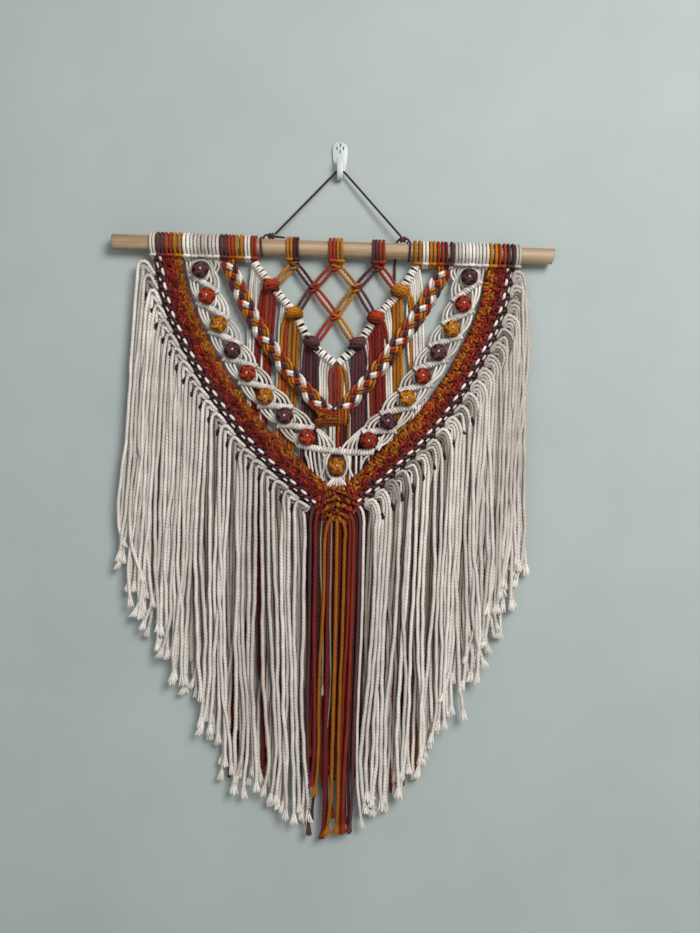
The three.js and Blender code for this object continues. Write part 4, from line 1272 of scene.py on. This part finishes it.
# How the four cords of a fringe group leave the edging: (distance down the seam from the white dash, distance
# outwards, depth) of each place, then how far outwards and down the cord bends before its fall
FRINGE_GROUP = {
    "left": [
        ([(16.4, 8.4, 9.4), (14, 8.8, 11.8), (9, 9.2, 14.2), (4.2, 9.7, 15), (1.9, 11.6, 15.2),
          (2.5, 14.8, 15)], 1.6, 6.0),
        ([(17, 10.4, 9.2), (12.6, 12.2, 12.6), (9.4, 12.6, 13.8), (8, 13.8, 14.2), (8.6, 15.4, 14)], 0, 6.6),
        ([(16.4, 9.4, 8.6), (10, 11.4, 11.2), (6, 12.2, 11.8), (5, 13.6, 11.6), (5.6, 16, 11.2)], 0, 6.6),
        ([(18, 11.2, 8.2), (14.4, 13.2, 10), (12.4, 14, 10.4), (12, 15.4, 10.2)], -1.8, 6.6),
    ],
    "right": [
        ([(14, 6.6, 9.6), (8, 7.2, 13.4), (3.6, 8.4, 14.8), (2.7, 11.7, 15), (3.9, 17, 14.8),
          (6.3, 21, 14.4)], 1.6, 8.0),
        ([(15, 7.6, 9), (9, 9.6, 12.6), (6.2, 11, 13.6), (6.2, 13.8, 13.8), (7.9, 18.4, 13.4)], 1.6, 8.0),
        ([(16, 9, 8.6), (11.4, 11.8, 11.4), (9.4, 13, 12.4), (9.4, 15, 12.6), (10.4, 17.4, 12.2)], 0.6, 7.4),
        ([(17, 10, 8), (13.4, 12.6, 10.4), (12.2, 14.6, 11), (13, 17.6, 10.8)], -0.6, 7.4),
    ],
}
# How much further outwards the cords of the first group bend, and how fast that fades down the seam
FRINGE_FLARE = {"left": (7.0, 4.4, 5.0, 2.0), "right": (-4.0, -4.0, -3.0, -3.0)}
FLARE_FADES = 0.45


FRINGE_CORD, HIDDEN_CORD, SHADE_NOTCH = 2.22, 2.4, 2.1  # radii
FRINGE_KICKS = {"left": (-1.0, 4.0), "right": (0.0, 3.5)}  # mean and spread of the turn at a cord's end
FRINGE_SHADE_NOTCHES = {"left": 2, "right": 10}  # first group whose fold gets a shade notch, a dark plum cord above its front cord
FRINGE_SWAY = 4.2
FRONT_CHANCES = (0.85, 0.55, 0.65, 0.35)  # that a cord of a right group lies in front
FRONT_DEPTHS, BACK_DEPTHS = (12.8, 15.0), (7.2, 8.8)
# Front cords of the fringe span TONE_RANGE below the brightest; back cords get low tones, which are painted
# shade where they hang behind the front ones.
TONE_RANGE, BACK_SHADE_TONES = 0.33, (0.0, 0.36)
COLOURED_FROM, COLOURED_TO = -118, 75  # x of the feet of the coloured cords behind the fringe


def add_fringe(side):
    """White fringe: groups of four cords that come from under the edging, turn over and hang."""
    line = Line(SEAM[side])
    hand = 1 if side == "left" else -1
    first, count = DASHES[side]
    pitch = (line.length - first) / (count - 1)
    ends = np.array(FRINGE_ENDS[side], float)[::hand]
    hanging = Hanging(6.8, 16.4, 1.45)
    corners = []

    def end_of(x):
        """Where a cord ends that starts to fall at x."""
        end = float(np.interp(x, sorted(FRINGE_TOPS[side]), ends[[0, -1], 0]))
        return end, float(np.interp(end, ends[:, 0], ends[:, 1]))

    for group in range(count - 1):
        start = first + group * pitch
        last_groups = group > count - 5
        front_pair = (0, 1) if draws.uniform() < 0.8 else (0, 3)
        loose = 3.0 * min(1, group / 5)
        # The right fringe's front cords are painted darker near its top: painted shade that tones down the
        # light falling on them from the right.
        brightest = 0.89 if side == "left" else min(0.93, 0.66 + 0.022 * group)
        for j, (places, outwards, down) in enumerate(FRINGE_GROUP[side]):
            flare = FRINGE_FLARE[side][j] * FLARE_FADES**group
            steps = len(places) - 1
            lead = [line.spot(start + far, -out - flare * k / steps + 0.25 * draws.normal(), depth)
                    for k, (far, out, depth) in enumerate(places)]
            bend = lead[-1] + np.array([-hand * outwards, -0.4, -down])
            x_end, z_end = end_of(bend[0])
            foot = [x_end + loose * draws.normal(), z_end + draws.normal(0, 8.0)]
            if side == "left":
                front = j in front_pair or group == 0 or (group < 9 and draws.uniform() < 0.55)
            else:
                front = group == 0 or draws.uniform() < FRONT_CHANCES[j]
            depth = draws.uniform(*(FRONT_DEPTHS if front else BACK_DEPTHS))
            tone = draws.uniform(*((brightest - TONE_RANGE, brightest) if front else BACK_SHADE_TONES))
            kick = draws.normal(*FRINGE_KICKS[side])
            if last_groups:  # these turn away from the front tassel
                kick = -hand * abs(kick) * 0.25
            # A cord's tip is never darker than the rest of it, so a back cord's painted shade eases where its
            # end shows below the others.
            hanging.add("white", [*lead, bend], foot, depth, FRINGE_CORD + 0.1 * draws.normal(),
                        sway=FRINGE_SWAY, kick=kick, tone=tone, tip=max(tone, draws.uniform(0.5, 0.9)))
            if j == 0 and group >= FRINGE_SHADE_NOTCHES[side]:
                corners.append(bend + np.array([-hand * 2.6, 0.6, 1.5]))
        if last_groups:
            continue
        hidden = line.spot(start + draws.uniform(0.2, 0.8) * pitch, -9, 8.2)
        x_end, z_end = end_of(hidden[0])
        coloured = COLOURED_FROM < x_end < COLOURED_TO
        colour = ("burgundy", "rust", "plum")[group % 3] if coloured else "white"
        # The hidden cord is painted at the darkest tone, as painted shade behind the fringe, and lighter at
        # its tip.
        hanging.add(colour, [hidden, hidden + np.array([0, -0.4, -9])], [x_end, z_end + 22], 6.8, HIDDEN_CORD,
                    sway=3.0, tone=0.0, tip=0.3, plain=True)
    hanging.settle()
    section = Section(f"fringe_{side}", f"fringe_{side}")
    hanging.draw(section, coarse=1.45, frayed=True)
    # Shade notches: short plum cords at the darkest tone, which paint the shade in the fold above each group's
    # front cord.
    for x, depth, z in corners:
        shade_notch = [(x + hand * 1.8, depth - 3, z + 3.8), (x + hand * 0.5, depth, z + 2.0), (x, depth, z - 0.8),
                 (x, depth - 3, z - 3.6)]
        section.cord("plum", shade_notch, SHADE_NOTCH, tone=0.0)
    section.make()


TASSEL_HALF = 7.5  # no white cord hangs this near to the middle of a tassel of the V
# Tassels of the V: tilt of the knot, drift by the foot, and cords as (colour, distance from the middle)
TASSELS = {
    "v_berry_left_1": (-0.45, -32, [("rust", -12.3), ("burgundy", -8.8), ("rust", -6.0), ("rust", -0.6),
                                    ("burgundy", 2.6)]),
    "v_berry_left_2": (-0.5, -20, [("mustard", -13.0), ("rust", -9.4), ("mustard", -5.2), ("mustard", 0.2),
                                   ("mustard", 3.8)]),
    "v_berry_left_3": (-0.2, -8, [("plum", -8.0), ("plum", -4.4), ("plum", -0.8), ("plum", 2.8),
                                  ("plum", 5.6)]),
    "v_berry_right_1": (0.5, 2, [("mustard", -5.8), ("mustard", -1.8), ("mustard", 1.6), ("mustard", 11.6),
                                 ("mustard", 15.2)]),
    "v_berry_right_2": (0.45, 12, [("rust", -7.0), ("burgundy", -3.4), ("burgundy", 0.2), ("rust", 3.6),
                                   ("burgundy", 7.0), ("rust", 10.8)]),
    "v_berry_right_3": (0.2, 2, [("plum", -4.4), ("plum", -0.9), ("plum", 2.6), ("plum", 6.0),
                                 ("plum", 8.8)]),
}
# Cords between the two arms of the V: colour and x
MIDDLE_CORDS = [("rust", -10.4), ("burgundy", -5.2), ("rust", -1.6), ("mustard", 1.8), ("mustard", 6.6)]
# Radii of the cords of a tassel, of the white cords and of the middle cords
TASSEL_CORD, DROP_CORD, MIDDLE_CORD = 2.0, 1.45, 1.7


def add_v(drops):
    """Berry knots of the V, the tassels under them, and the white cords that fall between the tassels."""
    hanging = Hanging(2.4, 5.8, 1.2)
    for name, (tilt, drift, cords) in TASSELS.items():
        add_v_berry(name, cords[0][0], tilt)
        x, _, z = berry_box(name)[0]
        low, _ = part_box(name.replace("berry", "tassel"))
        for colour, offset in cords:
            lead = [(x + offset * 0.45, 9.5, z + 2), (x + offset * 0.8, 9.4, z - 6),
                    (x + offset, 7.2, z - 17)]
            foot = [x + offset + drift, max(low[2] / MM, -652) + draws.normal(0, 9)]
            # Painted shade: the tassel's cords darken towards their ends, which hang behind the fringe.
            hanging.add(colour, lead, foot, draws.uniform(3.2, 5.8), TASSEL_CORD, sway=0.8,
                        tone=draws.uniform(0.2, 0.8), tip=0.2)
    tassels = [berry_box(name)[0][0] for name in TASSELS]
    for line, distance, side in drops:
        x, _, z = line.spot(distance, -2.5, 8)
        hand = -1 if side == "left" else 1
        if min(abs(x + hand * 2.6 - middle) for middle in tassels) < TASSEL_HALF:
            continue
        lead = [(x, 8.6, z + 1.5), (x + hand * 1.4, 7.4, z - 4.5), (x + hand * 2.6, 6.2, z - 12)]
        foot = [x + hand * 18 * min(1, abs(x) / 60), -610 + draws.normal(0, 14)]
        hanging.add("white", lead, foot, draws.uniform(2.4, 5.8), DROP_CORD, sway=0.8)
    for colour, x in MIDDLE_CORDS:
        lead = [(-3.4 + (x + 3) * 0.25, 9.6, -223.5), (-3.2 + (x + 3) * 0.8, 10.2, -227), (x, 8.4, -240)]
        hanging.add(colour, lead, [x - 1, -650 + draws.normal(0, 6)], 5.4, MIDDLE_CORD, sway=0.5)
    hanging.settle(50)
    section = Section("v_tassels", *[name.replace("berry", "tassel") for name in TASSELS], "v_tassel_middle")
    hanging.draw(section, coarse=1.4, frayed=False)
    section.make()


TASSEL_TOP = -388  # where the middle cords of the front tassel leave the knot


def add_front_tassel():
    """Coloured cords that hang from the middle knot in front of the fringe."""
    hanging = Hanging(7.0, 15.6, 1.1)
    for colour, x, x_foot, foot, depth, radius in FRONT_CORDS:
        aside = x - MIDDLE_X
        top = TASSEL_TOP + 14 * (aside / 27) ** 2
        close, near = (0.2, 0.75) if colour == "mustard" else (0.75, 0.93)
        lead = [(MIDDLE_X + aside * close, depth - 2, top + 7),
                (MIDDLE_X + aside * near, depth + 0.4, top + 1), (x, depth, top - 9)]
        # Painted shade: the nearer the wall a cord lies, the darker its tone; thin white cords left of x 20
        # are set darker still.
        tone = min(1.0, max(0.15, TASSEL_DEPTH_SHADE[colour] * (depth - 10)))
        if colour == "white" and x < 20:
            tone = 0.15
        hanging.add(colour, lead, [x_foot, foot], depth, radius, sway=1.6, kick=draws.normal(0, 2), tone=tone)
    # Cords behind the tassel, at a low tone: painted shade in the gaps between its cords.
    for x, colour in zip(np.linspace(-32, 26, len(BEHIND_CORDS)), BEHIND_CORDS):
        lead = [(x * 0.8, 8, -372), (x * 0.9, 8, -380), (x, 8, -390)]
        hanging.add(colour, lead, [x * 0.9 - 5, draws.uniform(-652, -600)], 7.5, 2.1, tone=0.25)
    hanging.settle(40)
    section = Section("front_tassel", "front_tassel")
    hanging.draw(section, coarse=1.0, frayed=True)
    section.make()


add_camera()
add_hanger()
add_stage()
add_hanger_knots()
add_dowel()
add_hook()
add_heads()
add_net()
for hanging_side in ("left", "right"):
    add_band(hanging_side)
    add_chain(hanging_side)
    add_fringe(hanging_side)
add_chain_foot()
add_middle_knot()
add_swag()
add_v(add_ridge())
add_front_tassel()
